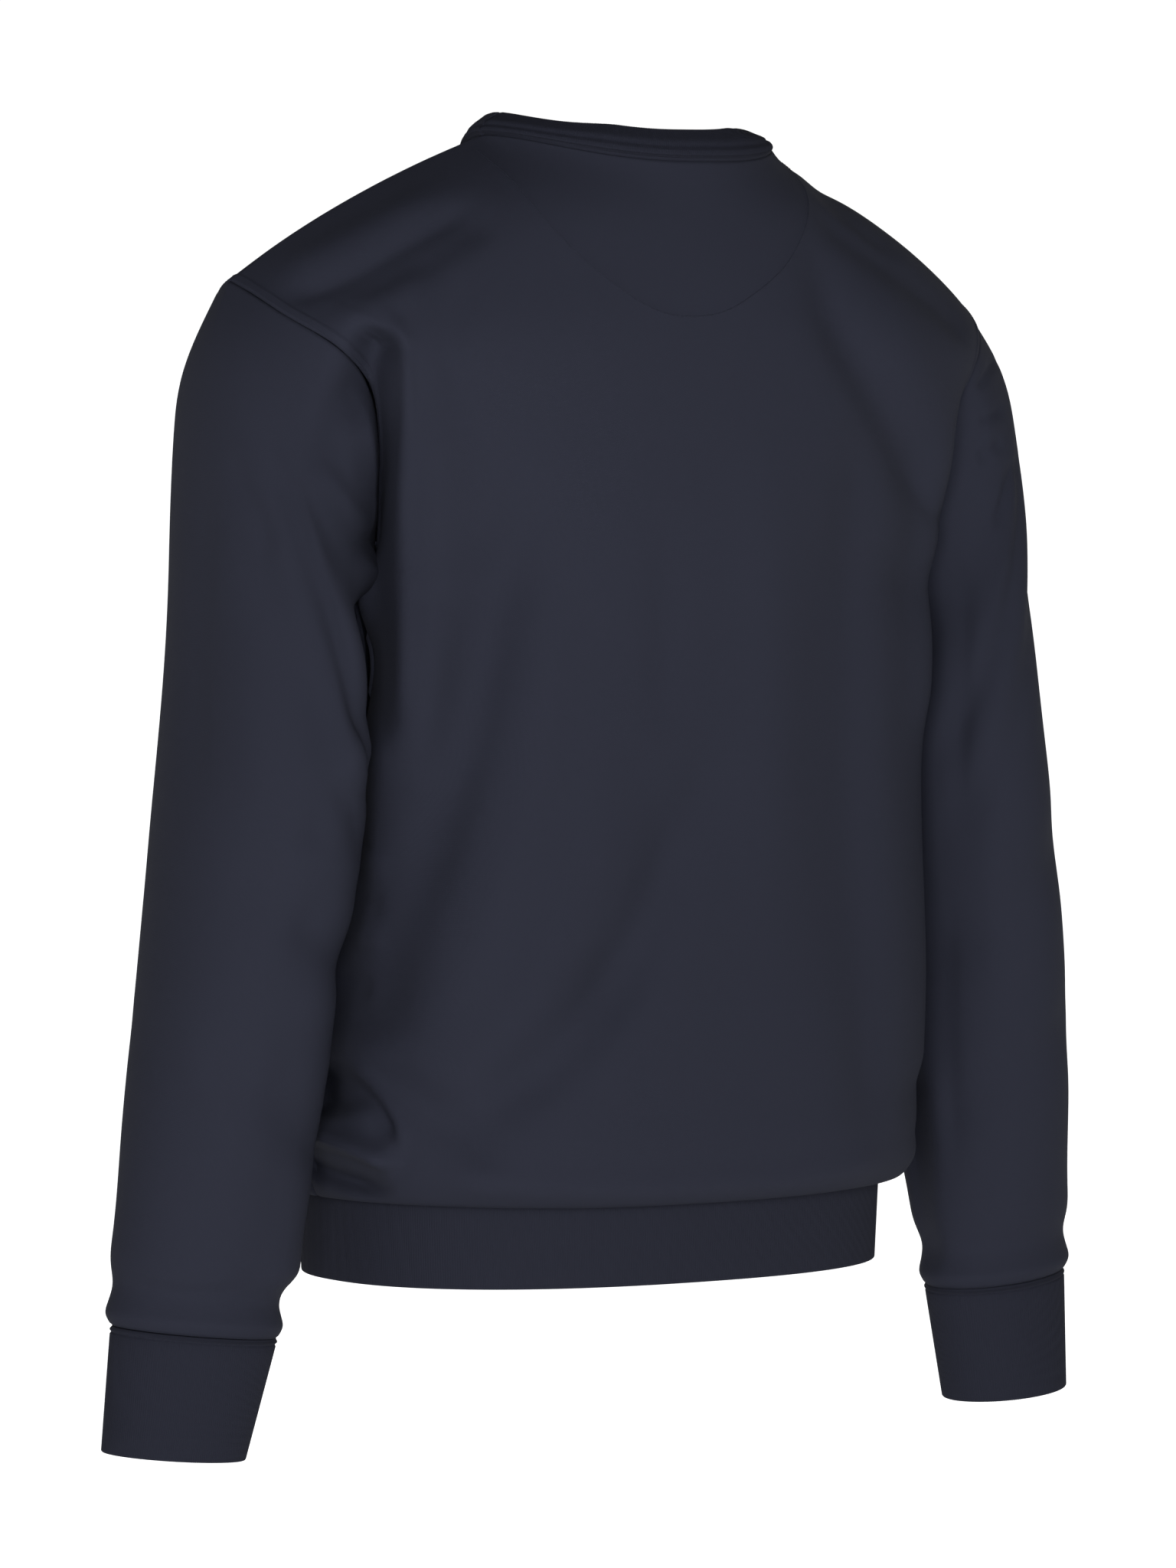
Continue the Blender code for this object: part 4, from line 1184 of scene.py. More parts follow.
    def folded(self, panel: Panel, outer: Array) -> Array:
        """A panel's smooth surface with its large folds and then its small ones.

        Args:
            panel: Which panel.
            outer: Its smooth surface.

        Returns:
            The folded surface.
        """
        relief = fold_relief(outer[..., 0], outer[..., 2], PANEL_FOLDS[panel])
        relief *= self.fade(*self.fold_ramp)
        outer = outer + self.normals(panel, outer) * relief[..., None]
        normal = self.normals(panel, outer)
        view = View.BEHIND if panel is Panel.BACK else View.BEFORE
        small = seen_relief(view, outer, normal, PANEL_CREASES[panel])
        past_underarm = smoothstep((self.up - BODY_ROWS) / self.armhole_ramp)
        armhole = past_underarm[:, None] * (self.across > 0)[None, :]
        fade = self.fade(*self.crease_ramp)
        middle = self.columns // 2
        fade = np.maximum(fade, fade[:, middle:middle + 1] * armhole)
        return outer + small * fade[..., None]

    def wall(self, panel: Panel, outer: Array) -> tuple[Array, Array]:
        """Outer and inner grids of one panel, with its seams and cut ends.

        Args:
            panel: Which panel.
            outer: Its folded surface.

        Returns:
            The outer and inner grids.
        """
        inward = -self.normals(panel, outer)
        relief = -inward * self.seam_relief(panel, outer)[..., None]
        outer = outer + [0.0, panel.value * SEAM_GAP / 2, 0.0]
        inward[0] = without(inward[0], 2)
        arm = self.up >= BODY_ROWS
        places = (self.up[arm] - BODY_ROWS) / ARM_ROWS / 2 * RING_POINTS
        ring = np.arange(RING_POINTS + 1)
        if panel is Panel.FRONT:
            places = RING_POINTS - places
        for column, side in ((0, Side.RIGHT), (-1, Side.LEFT)):
            apart, into = (np.stack([np.interp(places, ring, np.append(way[:, k], way[0, k]))
                                     for k in range(3)], 1) for way in self.seams[side])
            inward[~arm, column] = without(inward[~arm, column], 1)
            inward[arm, column] = unit(into) * side.mirror
            outer[arm, column] -= apart * side.mirror * SEAM_GAP / 2
        shoulder = np.abs(self.across) >= NECK_COLUMNS
        inward[-1, shoulder] = without(inward[-1, shoulder], 1)
        self.plain[panel] = outer, outer + inward * WALL
        return outer + relief, outer + inward * WALL

    def seam_relief(self, panel: Panel, outer: Array) -> Array:
        """Height of the seams: the cloth turns in at each seam by a bell, and stands up beside the
        armholes over the seam allowance, as far as a soft step.

        Args:
            panel: Which panel.
            outer: Its outer grid.

        Returns:
            Height to add along the normals.
        """
        along, across = run_length(outer), run_length(outer.transpose(1, 0, 2)).T
        side = np.minimum(across, across[:, -1:] - across)
        bottom, top = along, along[-1:] - along
        turned_in = [bell(off, self.dip_width) for off in (side, bottom, top)]
        height = -self.dip * np.maximum.reduce(turned_in)
        arm = smoothstep((self.up - BODY_ROWS) / self.welt_ramp)[:, None]
        rise, fall = self.welt_edges
        lifted = smoothstep((self.welt_reach - side) / fall) * smoothstep(side / rise)
        height += self.welt * arm * lifted
        if panel is Panel.BACK:
            line = self.half_moon_line(outer)
            height += self.ridge * bell(nearest(outer, line), self.ridge_width)
        return height

    def read(self, grid: Array, rows: Array, columns: Array) -> Array:
        """Points of a grid at places given in the solids' rows and columns, read linearly.

        Args:
            grid: A panel's grid.
            rows: Row of each place.
            columns: Column of each place.

        Returns:
            The points.
        """
        r = np.interp(rows, self.up, np.arange(len(self.up)))
        c = np.interp(columns, self.across, np.arange(len(self.across)))
        r0 = np.clip(np.floor(r).astype(int), 0, grid.shape[0] - 2)
        c0 = np.clip(np.floor(c).astype(int), 0, grid.shape[1] - 2)
        fr, fc = (r - r0)[:, None], (c - c0)[:, None]
        return ((grid[r0, c0] * (1 - fc) + grid[r0, c0 + 1] * fc) * (1 - fr)
                + (grid[r0 + 1, c0] * (1 - fc) + grid[r0 + 1, c0 + 1] * fc) * fr)

    def half_moon_line(self, grid: Array) -> Array:
        """The sewn edge of the half-moon facing: a smooth curve through places below the neck seam.

        Args:
            grid: A grid of the back panel.

        Returns:
            The line's points.
        """
        places = curve_through(np.array(HALF_MOON_EDGE), np.linspace(0.0, 1.0, 400))
        return self.read(grid, BODY_ROWS + ARM_ROWS - places[:, 1], places[:, 0])

    def dress(self, wardrobe: Wardrobe) -> None:
        """Make both panels' objects.

        Args:
            wardrobe: The cloth materials.
        """
        for panel, name in ((Panel.BACK, "back_panel"), (Panel.FRONT, "front_panel")):
            outer, inner = (settled(grid) for grid in self.walls[panel])
            item = wall_mesh(name + "_cloth", outer, inner, False, [wardrobe.face, wardrobe.inside])
            declare(item, outer, False, name)


def declare(item: bpy.types.Object, outer: Array, closed: bool, node: str) -> None:
    """Hang a cloth piece on the garment's root, hide the solid that it stands for, and log the
    size of its grid laid flat.

    Args:
        item: The piece's object.
        outer: Its outer grid.
        closed: Whether the grid runs round.
        node: The solid that it stands for.
    """
    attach(item, "root")
    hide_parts(node)
    width, length, area = flat_area(outer, closed)
    LOG.info("%s: %d points, cut %.3f x %.3f m, %.4f m2",
             item.name, len(item.data.vertices), width, length, area)


# ---- Sleeves ----------------------------------------------------------------------------------
def ring_points(section: TubeSection, shares: Array) -> Array:
    """One ring of a sleeve or cuff: an ellipse whose axes are turned, starting at its inner point and
    running back, out and front.

    Args:
        section: The ring's sizes.
        shares: Shares of its length.

    Returns:
        Its points.
    """
    (out_x, out_z), (in_x, in_z) = section.outer, section.inner
    middle = np.array([(out_x + in_x) / 2, section.middle_y, (out_z + in_z) / 2])
    half_x, half_z, angle = (out_x - in_x) / 2, (out_z - in_z) / 2, math.radians(section.turn)
    long_axis = np.array([half_x * math.cos(angle), -half_x * math.sin(angle), half_z])
    short_axis = section.depth * np.array([math.sin(angle), math.cos(angle), 0.0])
    turns = np.linspace(0.0, 2 * math.pi, DENSE + 1)[:, None]
    return divide(middle - long_axis * np.cos(turns) + short_axis * np.sin(turns), shares)


def outward(rings: Array) -> Array:
    """Normals of a stack of rings, turned away from each ring's middle.

    Args:
        rings: The rings, one a row.

    Returns:
        A unit normal for each point.
    """
    normal = grid_normals(rings, True)
    away = rings - rings.mean(axis=1, keepdims=True)
    return normal * np.sign((normal * away).sum(axis=2).mean())


def in_plane(directions: Array, ring: Array) -> Array:
    """Directions laid into the plane of a ring.

    Args:
        directions: One a point.
        ring: The ring's points.

    Returns:
        The directions in the plane, at unit length.
    """
    middle = ring.mean(axis=0)
    axis = unit(np.cross(ring[0] - middle, ring[len(ring) // 4] - middle))
    return unit(directions - (directions @ axis)[..., None] * axis)


def sleeve_surface(first: Array, along: Array) -> Array:
    """Smooth outer grid of the wearer's left sleeve: a smooth curve from the armhole through the
    sections in every column, its knots spaced by the rings' middles.

    Args:
        first: Points round the armhole.
        along: Shares of the sleeve's length, one a row.

    Returns:
        The grid.
    """
    shares = np.arange(len(first)) / len(first)
    rings = np.array([first] + [ring_points(section, shares) for section in SLEEVE])
    knots = run_length(rings.mean(axis=1)) + np.arange(len(rings)) * RING_SPREAD
    return smooth_through(knots, rings, along * knots[-1])


@dataclass
class SleeveForm:
    """One sleeve's wall, from the armhole to the cuff seam."""

    body: BodyForm
    side: Side
    rows: int = 172
    seam_pull: float = 0.72
    dip: float = 0.0011          # how deep the cloth turns in at a seam
    dip_width: float = 0.0013
    draw_in: float = 0.0046      # how far the cloth is drawn in above the wrist
    draw_in_place: tuple[float, float] = (0.025, 0.013)   # its distance from the seam, its width
    roll: float = 0.0014         # the roll that stands over the cuff seam
    roll_place: tuple[float, float] = (0.008, 0.005)
    seam_end: float = 0.004      # over which both end at the seam
    # one over the share of the length in which folds fade at both seams, and creases at each
    fold_ramp: float = 10.0
    crease_ramps: tuple[float, float] = (60.0, 40.0)

    def __post_init__(self) -> None:
        """Work out the wall, from the panels' armhole on."""
        apart, into = self.body.seams[self.side]
        along = crowded(self.rows, self.seam_pull)
        outer = self.folded(sleeve_surface(self.body.armholes[self.side], along), along)
        outer = self.gathered(outer)
        length = run_length(outer)
        dips = np.maximum(bell(length, self.dip_width), bell(length[-1:] - length, self.dip_width))
        outer = outer - outward(outer) * (self.dip * dips)[..., None]
        inward = -outward(outer)
        outer[0] += apart * SEAM_GAP / 2
        inward[0] = into
        inward[-1] = in_plane(inward[-1], outer[-1])
        self.wall = outer, outer + inward * WALL

    def folded(self, outer: Array, along: Array) -> Array:
        """A sleeve's smooth surface with its large folds and then its small ones, which fade out
        towards both seams by straight ramps.

        Args:
            outer: Its smooth surface.
            along: Shares of its length, one a row.

        Returns:
            The folded surface.
        """
        turn = np.broadcast_to((np.arange(RING_POINTS) / RING_POINTS)[None, :], outer.shape[:2])
        share = np.broadcast_to(along[:, None], outer.shape[:2])
        ends = np.clip(share * self.fold_ramp, 0, 1) * np.clip((1 - share) * self.fold_ramp, 0, 1)
        outer = outer + outward(outer) * (fold_relief(turn, share, SLEEVE_FOLDS) * ends)[..., None]
        rise, fall = self.crease_ramps
        ends = np.clip(share * rise, 0, 1) * np.clip((1 - share) * fall, 0, 1)
        mirror, normal = self.side.mirror, outward(outer)
        for view in View:
            creases = SLEEVE_CREASES[self.side, view]
            small = seen_relief(view, outer * mirror, normal * mirror, creases)
            outer = outer + small * ends[..., None] * mirror
        return outer

    def gathered(self, outer: Array) -> Array:
        """A sleeve drawn in above its wrist, with a roll over the cuff seam: two bells, which a soft
        step ends at the seam.

        Args:
            outer: Its folded surface.

        Returns:
            The gathered surface.
        """
        length = run_length(outer)
        left = length[-1:] - length
        (roll_at, roll_width), (draw_at, draw_width) = self.roll_place, self.draw_in_place
        relief = (self.roll * bell(left - roll_at, roll_width)
                  - self.draw_in * bell(left - draw_at, draw_width))
        return outer + outward(outer) * (relief * smoothstep(left / self.seam_end))[..., None]

    def dress(self, wardrobe: Wardrobe) -> None:
        """Make the sleeve's object.

        Args:
            wardrobe: The cloth materials.
        """
        word = self.side.name.lower()
        outer, inner = (settled(grid * self.side.mirror) for grid in self.wall)
        item = wall_mesh(f"sleeve_{word}_cloth", outer, inner, True, [wardrobe.face, wardrobe.inside])
        declare(item, outer, True, f"sleeve_{word}")


# ---- Stitching --------------------------------------------------------------------------------
@dataclass
class Stitching:
    """Every row of stitches, gathered into one mesh of small capsules."""

    pitch: float = 0.0030
    length: float = 0.0025
    radius: float = 0.00024
    sides: int = 6
    # rings of a capsule: share of its length, and share of its radius
    rings: tuple[tuple[float, float], ...] = ((0.0, 0.25), (0.16, 1.0), (0.84, 1.0), (1.0, 0.25))
    points: list[Array] = field(default_factory=list)
    count: int = 0

    def sew(self, line: Array, normals: Array, size: float = 1.0) -> None:
        """Add a row of stitches along a line: each is a capsule that lies half sunk in the cloth.

        Args:
            line: Points along the row.
            normals: Unit normals of the cloth at those points.
            size: Share of the usual radius.
        """
        length = run_length(line)
        count = int(length[-1] / self.pitch)
        middles = (np.arange(count) + 0.5) * self.pitch
        ends = [np.stack([np.interp(middles + half, length, line[:, k]) for k in range(3)], axis=1)
                for half in (-self.length / 2, self.length / 2)]
        up = unit(np.stack([np.interp(middles, length, normals[:, k]) for k in range(3)], axis=1))
        way = unit(ends[1] - ends[0])
        side = unit(np.cross(up, way))
        turns = np.linspace(0.0, 2 * math.pi, self.sides, endpoint=False)[None, None, :, None]
        share, girth = np.array(self.rings).T[:, None, :, None, None]
        core = ends[0][:, None, None] * (1 - share) + ends[1][:, None, None] * share
        ring = side[:, None, None] * np.cos(turns) + up[:, None, None] * np.sin(turns)
        self.points.append((core + ring * girth * self.radius * size).reshape(-1, 3))
        self.count += count

    def dress(self, wardrobe: Wardrobe) -> None:
        """Make the stitches' object.

        Args:
            wardrobe: The cloth materials.
        """
        points = settled(np.concatenate(self.points))
        cells, _ = quads(len(self.rings), self.sides, True)
        first = np.arange(self.count)[:, None, None] * len(self.rings) * self.sides
        faces = (cells[None] + first).reshape(-1, 4)
        square = np.array([(0, 0), (1, 0), (1, 1), (0, 1)]) * 0.001
        uvs = np.tile(square, (len(faces), 1))
        item = make_mesh("stitches", points, faces, uvs, np.zeros(len(faces)), [wardrobe.thread])
        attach(item, "root")
        LOG.info("%d stitches", self.count)


def sew_body(body: BodyForm, stitching: Stitching) -> None:
    """Sew the two rows beside each armhole and the edge of the half-moon facing.

    Args:
        body: The panels.
        stitching: Takes the stitches.
    """
    arm = body.up >= BODY_ROWS
    for panel in Panel:
        outer = body.walls[panel][0]
        normal = body.normals(panel, outer)
        for turned in (False, True):
            rows, ways = (grid[arm][:, ::-1] if turned else grid[arm] for grid in (outer, normal))
            run = run_length(rows.transpose(1, 0, 2)).T
            for offset in body.armhole_rows_off:
                place, way = (np.array([[np.interp(offset, run[r], grid[r, :, k]) for k in range(3)]
                                        for r in range(len(rows))]) for grid in (rows, ways))
                stitching.sew(place, unit(way))
    outer = body.walls[Panel.BACK][0]
    line, ways = (body.half_moon_line(grid) for grid in (outer, body.normals(Panel.BACK, outer)))
    stitching.sew(line, unit(ways), body.facing_stitch)


# ---- Ribbed trims -----------------------------------------------------------------------------
@dataclass(frozen=True)
class RibSizes:
    """A trim's rib pitch and height, and how many points each rib has round the trim."""

    pitch: float = 0.00155
    height: float = 0.00018
    points: int = 3


RIB = RibSizes()


# Rows of a trim's outer face next to its seam: distances from the seam.
SEAM_ROWS = (0.0, 0.0006, 0.0012, 0.0018, 0.0024, 0.0030, 0.0035, 0.0040, 0.0048)
# Depth and width of a trim's turned-in seam, of the swell below it and of the stitched line.
TURNED_IN = (0.0010, 0.0011)
SWELL = (0.0003, 0.0010)
STITCHED_IN = (0.0010, 0.0007)
# The ribs start this far below the seam and are full after this length.
RIBS_FROM = 0.0010
RIBS_FULL = 0.0015


def rib_wave(count: int) -> Array:
    """Height round a ribbed ring: the cosine of the turn times the number of ribs, zero at the mean."""
    phase = (np.arange(count) + 0.5) * 2 * math.pi / RIB.points
    return RIB.height * np.cos(phase)


def rib_count(length: float) -> int:
    """Points round a ring of a length, a whole number of ribs."""
    return int(round(length / RIB.pitch)) * RIB.points


def half_circle(middle: Array, out: Array, onward: Array, radius: float,
                steps: int) -> tuple[Array, Array]:
    """Rounded edge of a doubled trim: a quarter circle from each face to the edge's far line, which
    goes with the cosine of its angle sideways and with the sine onward.

    Args:
        middle: Middle line of the edge.
        out: Unit directions to the first face.
        onward: Unit directions past the edge.
        radius: Half the trim's thickness.
        steps: Rows of each quarter.

    Returns:
        The rows from the first face, and from the second.
    """
    bend = np.linspace(0.0, math.pi / 2, steps + 1)[1:, None, None]
    first, second = (middle + (way * np.cos(bend) + onward * np.sin(bend)) * radius
                     for way in (out, -out))
    return first, second


def folded_trim(top: Array, bottom: Array, wall: float, out: Array, rows: int) -> tuple[Array, Array]:
    """A trim folded double at its lower edge. The outer face runs straight from top to bottom, the
    lower edge is half a circle of the wall's thickness, and the inner face runs back up.

    Args:
        top: Ring at the seam.
        bottom: Ring at the fold.
        wall: Thickness of the doubled trim.
        out: Unit directions out of the trim, one a point.
        rows: Rows of the outer face.

    Returns:
        The outer grid down to the fold's lowest line, and the inner grid down to the same line.
    """
    near = np.array(SEAM_ROWS) / np.linalg.norm(bottom - top, axis=1).mean()
    share = np.append(near, np.linspace(near[-1], 1.0, rows - len(near) + 1)[1:])[:, None, None]
    face = top[None] * (1 - share) + bottom[None] * share
    fold, back = half_circle(bottom - out * wall / 2, out, unit(bottom - top), wall / 2, 4)
    return np.concatenate([face, fold]), np.concatenate([face - out * wall, back])


def ribs_below(face: Array) -> Array:
    """Height of the ribs on a trim's outer grid: the wave round it, from a little below the seam."""
    return rib_wave(face.shape[1])[None, :] * smoothstep((run_length(face) - RIBS_FROM) / RIBS_FULL)


def seamed(face: Array, out: Array, line: float) -> Array:
    """A trim's outer grid with its ribs, its turned-in seam and a stitched line below that.

    Args:
        face: The outer grid, from the seam down.
        out: Unit directions out of the trim.
        line: Distance from the seam to the stitched line.

    Returns:
        The grid with its relief.
    """
    length = run_length(face)
    ribs = ribs_below(face)
    seam = SWELL[0] * bell(length - line / 2, SWELL[1]) - TURNED_IN[0] * bell(length, TURNED_IN[1])
    sewn = -STITCHED_IN[0] * bell(length - line, STITCHED_IN[1])
    return face + out[None] * (ribs + seam + sewn)[..., None]


def ring_blur(values: Array, reach: int) -> Array:
    """Values round a ring, averaged with a triangle of weights.

    Args:
        values: One a point.
        reach: Points to each side.

    Returns:
        The smoothed values.
    """
    shifts = np.arange(-reach, reach + 1)
    weights = 1.0 - np.abs(shifts) / (reach + 1)
    rolled = [np.roll(values, shift, axis=0) * weight for shift, weight in zip(shifts, weights)]
    return np.sum(rolled, axis=0) / weights.sum()


@dataclass
class Trims:
    """Cuffs, hem band and neckband."""

    body: BodyForm
    stitching: Stitching
    cuff_rows: int = 18
    hem_rows: int = 13
    neck_rows: int = 18
    neck_pull: float = 0.5
    neck_blur: int = 20          # its directions are smoothed over one part in this many
    neck_samples: int = 400      # places read on the panels' edge, each
    line: float = 0.0035         # from a trim's seam to its stitched line
    dip: float = 0.0008          # how deep the neckband turns in at its seam
    dip_width: float = 0.0012
    allowance: float = 0.0045    # neckband cloth turned down inside its seam
    allowance_top: float = 0.0004
    allowance_wall: float = 0.0012
    allowance_gap: float = 0.0003
    low_sides: tuple[float, float] = (0.5, 0.3)   # share of the neckband's height lost at each side
    profile: tuple[tuple[float, float, float], ...] = (
        # on    in     out
        (0.12, 0.00, 0.0015), (0.26, 0.01, 0.0019), (0.38, 0.03, 0.0012), (0.43, 0.05, 0.0002),
        (0.49, 0.07, 0.0008), (0.72, 0.17, 0.0008), (1.00, 0.34, -0.0006),
    )

    def dress_cuff(self, wardrobe: Wardrobe, side: Side) -> None:
        """Make one cuff: straight between its two rings, folded double at the wrist's edge.

        Args:
            wardrobe: The cloth materials.
            side: Which cuff.
        """
        count = rib_count(run_length(ring_points(CUFF[0], np.linspace(0, 1, 200)))[-1])
        shares = np.arange(count) / count
        top, bottom = (ring_points(section, shares) for section in CUFF)
        rings = top - [0.0, 0.0, SEAM_GAP / 2], bottom
        self.dress_band(f"cuff_{side.name.lower()}", rings, self.cuff_rows, side, wardrobe)

    def dress_hem(self, wardrobe: Wardrobe) -> None:
        """Make the hem band: it hangs from the panels' lowest edge and draws in a little.

        Args:
            wardrobe: The cloth materials.
        """
        back = self.body.plain[Panel.BACK][0][0]
        front = self.body.plain[Panel.FRONT][0][0][::-1][1:-1]
        loop = np.concatenate([back, front, back[:1]])
        count = rib_count(run_length(loop)[-1])
        top = divide(loop, np.arange(count) / count) - [0.0, 0.0, SEAM_GAP / 2]
        middle = top.mean(axis=0)
        draw = np.array([HEM_DRAW_IN, HEM_DRAW_IN, 1.0])
        bottom = middle + (top - middle) * draw - [0.0, 0.0, HEM_HEIGHT]
        self.dress_band("hem_band", (top, bottom), self.hem_rows, Side.LEFT, wardrobe)

    def dress_band(self, name: str, rings: tuple[Array, Array], rows: int, side: Side,
                   wardrobe: Wardrobe) -> None:
        """Make a ribbed band that is folded double at its lower ring and sewn below its upper one.

        Args:
            name: Its solid's name.
            rings: Its upper and lower ring, as they are on the wearer's left.
            rows: Rows of its outer face.
            side: Where it goes; the left leaves it as it is.
            wardrobe: The cloth materials.
        """
        top, bottom = rings
        out = outward(np.array([top, (top + bottom) / 2, bottom]))[1]
        outer, inner = folded_trim(top, bottom, RIB_WALL, out, rows)
        outer = seamed(outer, out, self.line)
        self.sew(outer * side.mirror, out * side.mirror)
        self.finish(name, outer * side.mirror, inner * side.mirror, wardrobe)

    def sew(self, outer: Array, out: Array) -> None:
        """Sew one row round a trim, a little below its seam.

        Args:
            outer: The trim's outer grid.
            out: Unit directions out of it, one a point round it.
        """
        row = int(np.abs(run_length(outer).mean(axis=1) - self.line).argmin())
        loop = ring_blur(outer[row], 2 * RIB.points)
        self.stitching.sew(np.concatenate([loop, loop[:1]]), np.concatenate([out, out[:1]]))

    def neck_seam(self) -> tuple[Array, Array]:
        """The neck seam, at a whole number of ribs, and the panels' points one row below it.

        Returns:
            Both rings of points.
        """
        columns = np.linspace(-NECK_COLUMNS, NECK_COLUMNS, self.neck_samples)
        rings = []
        for below in (0.0, 1.0):
            rows = np.full(self.neck_samples, BODY_ROWS + ARM_ROWS - below)
            back = self.body.read(self.body.plain[Panel.BACK][0], rows, columns)[::-1]
            front = self.body.read(self.body.plain[Panel.FRONT][0], rows, columns)[1:-1]
            rings.append(np.concatenate([back, front, back[:1]]))
        length = run_length(rings[0])
        count = rib_count(length[-1])
        at = np.arange(count) / count * length[-1]
        seam, below = (np.stack([np.interp(at, length, ring[:, k]) for k in range(3)], axis=1)
                       for ring in rings)
        return seam, below

    def dress_neck(self, wardrobe: Wardrobe) -> None:
        """Make the neckband: a smooth profile that goes on from the neck seam and leans in, carried
        round the neck, with a fold at its top that is half a circle.

        Args:
            wardrobe: The cloth materials.
        """
        seam, below = self.neck_seam()
        along = np.roll(seam, -1, axis=0) - np.roll(seam, 1, axis=0)
        thick = ring_blur(unit(np.cross(unit(along), below - seam)), len(seam) // self.neck_blur)
        thick = unit(thick * -np.sign((thick * without(seam, 2)).sum()))
        onward = unit(np.cross(along, thick))
        onward *= np.sign(onward[:, 2].mean())
        outer = self.neck_face(seam, onward, thick)
        inner = outer + thick * NECK_WALL
        tip, rise = (outer[-1] + inner[-1]) / 2, unit(outer[-1] - outer[-2])
        cap, under = half_circle(tip, -thick, rise, NECK_WALL / 2, 5)
        outer, inner = np.concatenate([outer, cap]), np.concatenate([inner, under])
        dip = self.dip * bell(run_length(outer), self.dip_width)
        outer = outer - thick * (ribs_below(outer) - dip)[..., None]
        under = outer[0] + thick * (WALL + self.allowance_gap)
        turned = np.stack([under - onward * self.allowance, under - onward * self.allowance_top])
        outer = np.concatenate([turned, outer])
        inner = np.concatenate([turned + thick * self.allowance_wall, inner])
        self.finish("neckband", outer, inner, wardrobe)

    def neck_face(self, seam: Array, onward: Array, thick: Array) -> Array:
        """Outer grid of the neckband up to its fold: from the seam, on by the profile's first share of
        the band's width, level towards the neck's middle by its second, and out by its third. The
        sides are lower, by a soft step across.

        Args:
            seam: The neck seam.
            onward: Unit directions in which the panels go on.
            thick: Unit directions into the garment.

        Returns:
            The grid.
        """
        knots = np.array([0.0] + [on for on, _, _ in self.profile])
        shape = np.array([(0.0, 0.0, 0.0)] + list(self.profile))
        rows = crowded(self.neck_rows, self.neck_pull)
        on, level, out = smooth_through(knots, shape, rows).T[..., None, None]
        low_side = np.where(seam[:, :1] < 0, *self.low_sides)
        low = 1.0 - low_side * smoothstep(np.abs(seam[:, :1]) / NECK_HALF_WIDTH * 2 - 1)
        rise = onward[None] * on * low + without(-seam, 2)[None] * level
        return seam - onward * NECK_GAP / 2 + rise * BAND_WIDTH - thick * out

    def finish(self, name: str, outer: Array, inner: Array, wardrobe: Wardrobe) -> None:
        """Args:
            name: Its solid's name.
            outer: Its outer grid.
            inner: Its inner grid.
            wardrobe: The cloth materials.
        """
        outer, inner = settled(outer), settled(inner)
        item = wall_mesh(name + "_cloth", outer, inner, True, [wardrobe.rib, wardrobe.rib])
        declare(item, outer, True, name)


# ---- Half-moon facing -------------------------------------------------------------------------
@dataclass
class HalfMoon:
    """The facing inside the back neck."""

    body: BodyForm
    wall: float = 0.0010
    columns: int = 61
    rows: int = 41
    half_width: float = 4.2      # in the solids' columns
    depth: float = 5.0           # in their rows, like the start below the neck seam
    start: float = 0.6
    roundness: float = 0.96      # share of the half circle that its edge follows
    gaps: tuple[float, float] = (0.0026, 0.0007)   # from the inside of the panel, above and below

    def dress(self, wardrobe: Wardrobe) -> None:
        """Make the facing's object: the back panel's inner grid, read over a half circle and moved in.

        Args:
            wardrobe: The cloth materials.
        """
        outer, inner = self.body.plain[Panel.BACK]
        top = BODY_ROWS + ARM_ROWS
        span = np.linspace(-1.0, 1.0, self.columns)
        depth = self.depth * np.sqrt(1 - (self.roundness * span) ** 2)
        rows = top - self.start - np.linspace(0.0, 1.0, self.rows)[:, None] * depth[None, :]
        columns = np.broadcast_to(span * self.half_width, rows.shape).ravel()
        sheet = self.body.read(inner, rows.ravel(), columns).reshape(rows.shape + (3,))
        into = self.body.read(inner - outer, np.minimum(rows, top - 1).ravel(), columns)
        into = unit(into.reshape(rows.shape + (3,)))
        sheet = sheet + into * np.linspace(*self.gaps, self.rows)[:, None, None]
        grids = settled(sheet), settled(sheet + into * self.wall)
        item = wall_mesh("half_moon_cloth", *grids, False, [wardrobe.face, wardrobe.face])
        declare(item, grids[0], False, "half_moon")


# ---- Studio -----------------------------------------------------------------------------------
@dataclass(frozen=True)
class Lamp:
    """A soft area light: where it is, its side, its power and its colour."""

    name: str
    place: tuple[float, float, float]
    side: float
    power: float
    colour: tuple[float, float, float] = (1.0, 1.0, 1.0)


# right, back and up from the origin, as the camera sees it
STUDIO_LAMPS = (
    Lamp("key", (-0.2, 5.0, -0.3), 2.0, 480.0),
    Lamp("fill", (3.0, 3.6, 0.3), 2.0, 50.0),
)


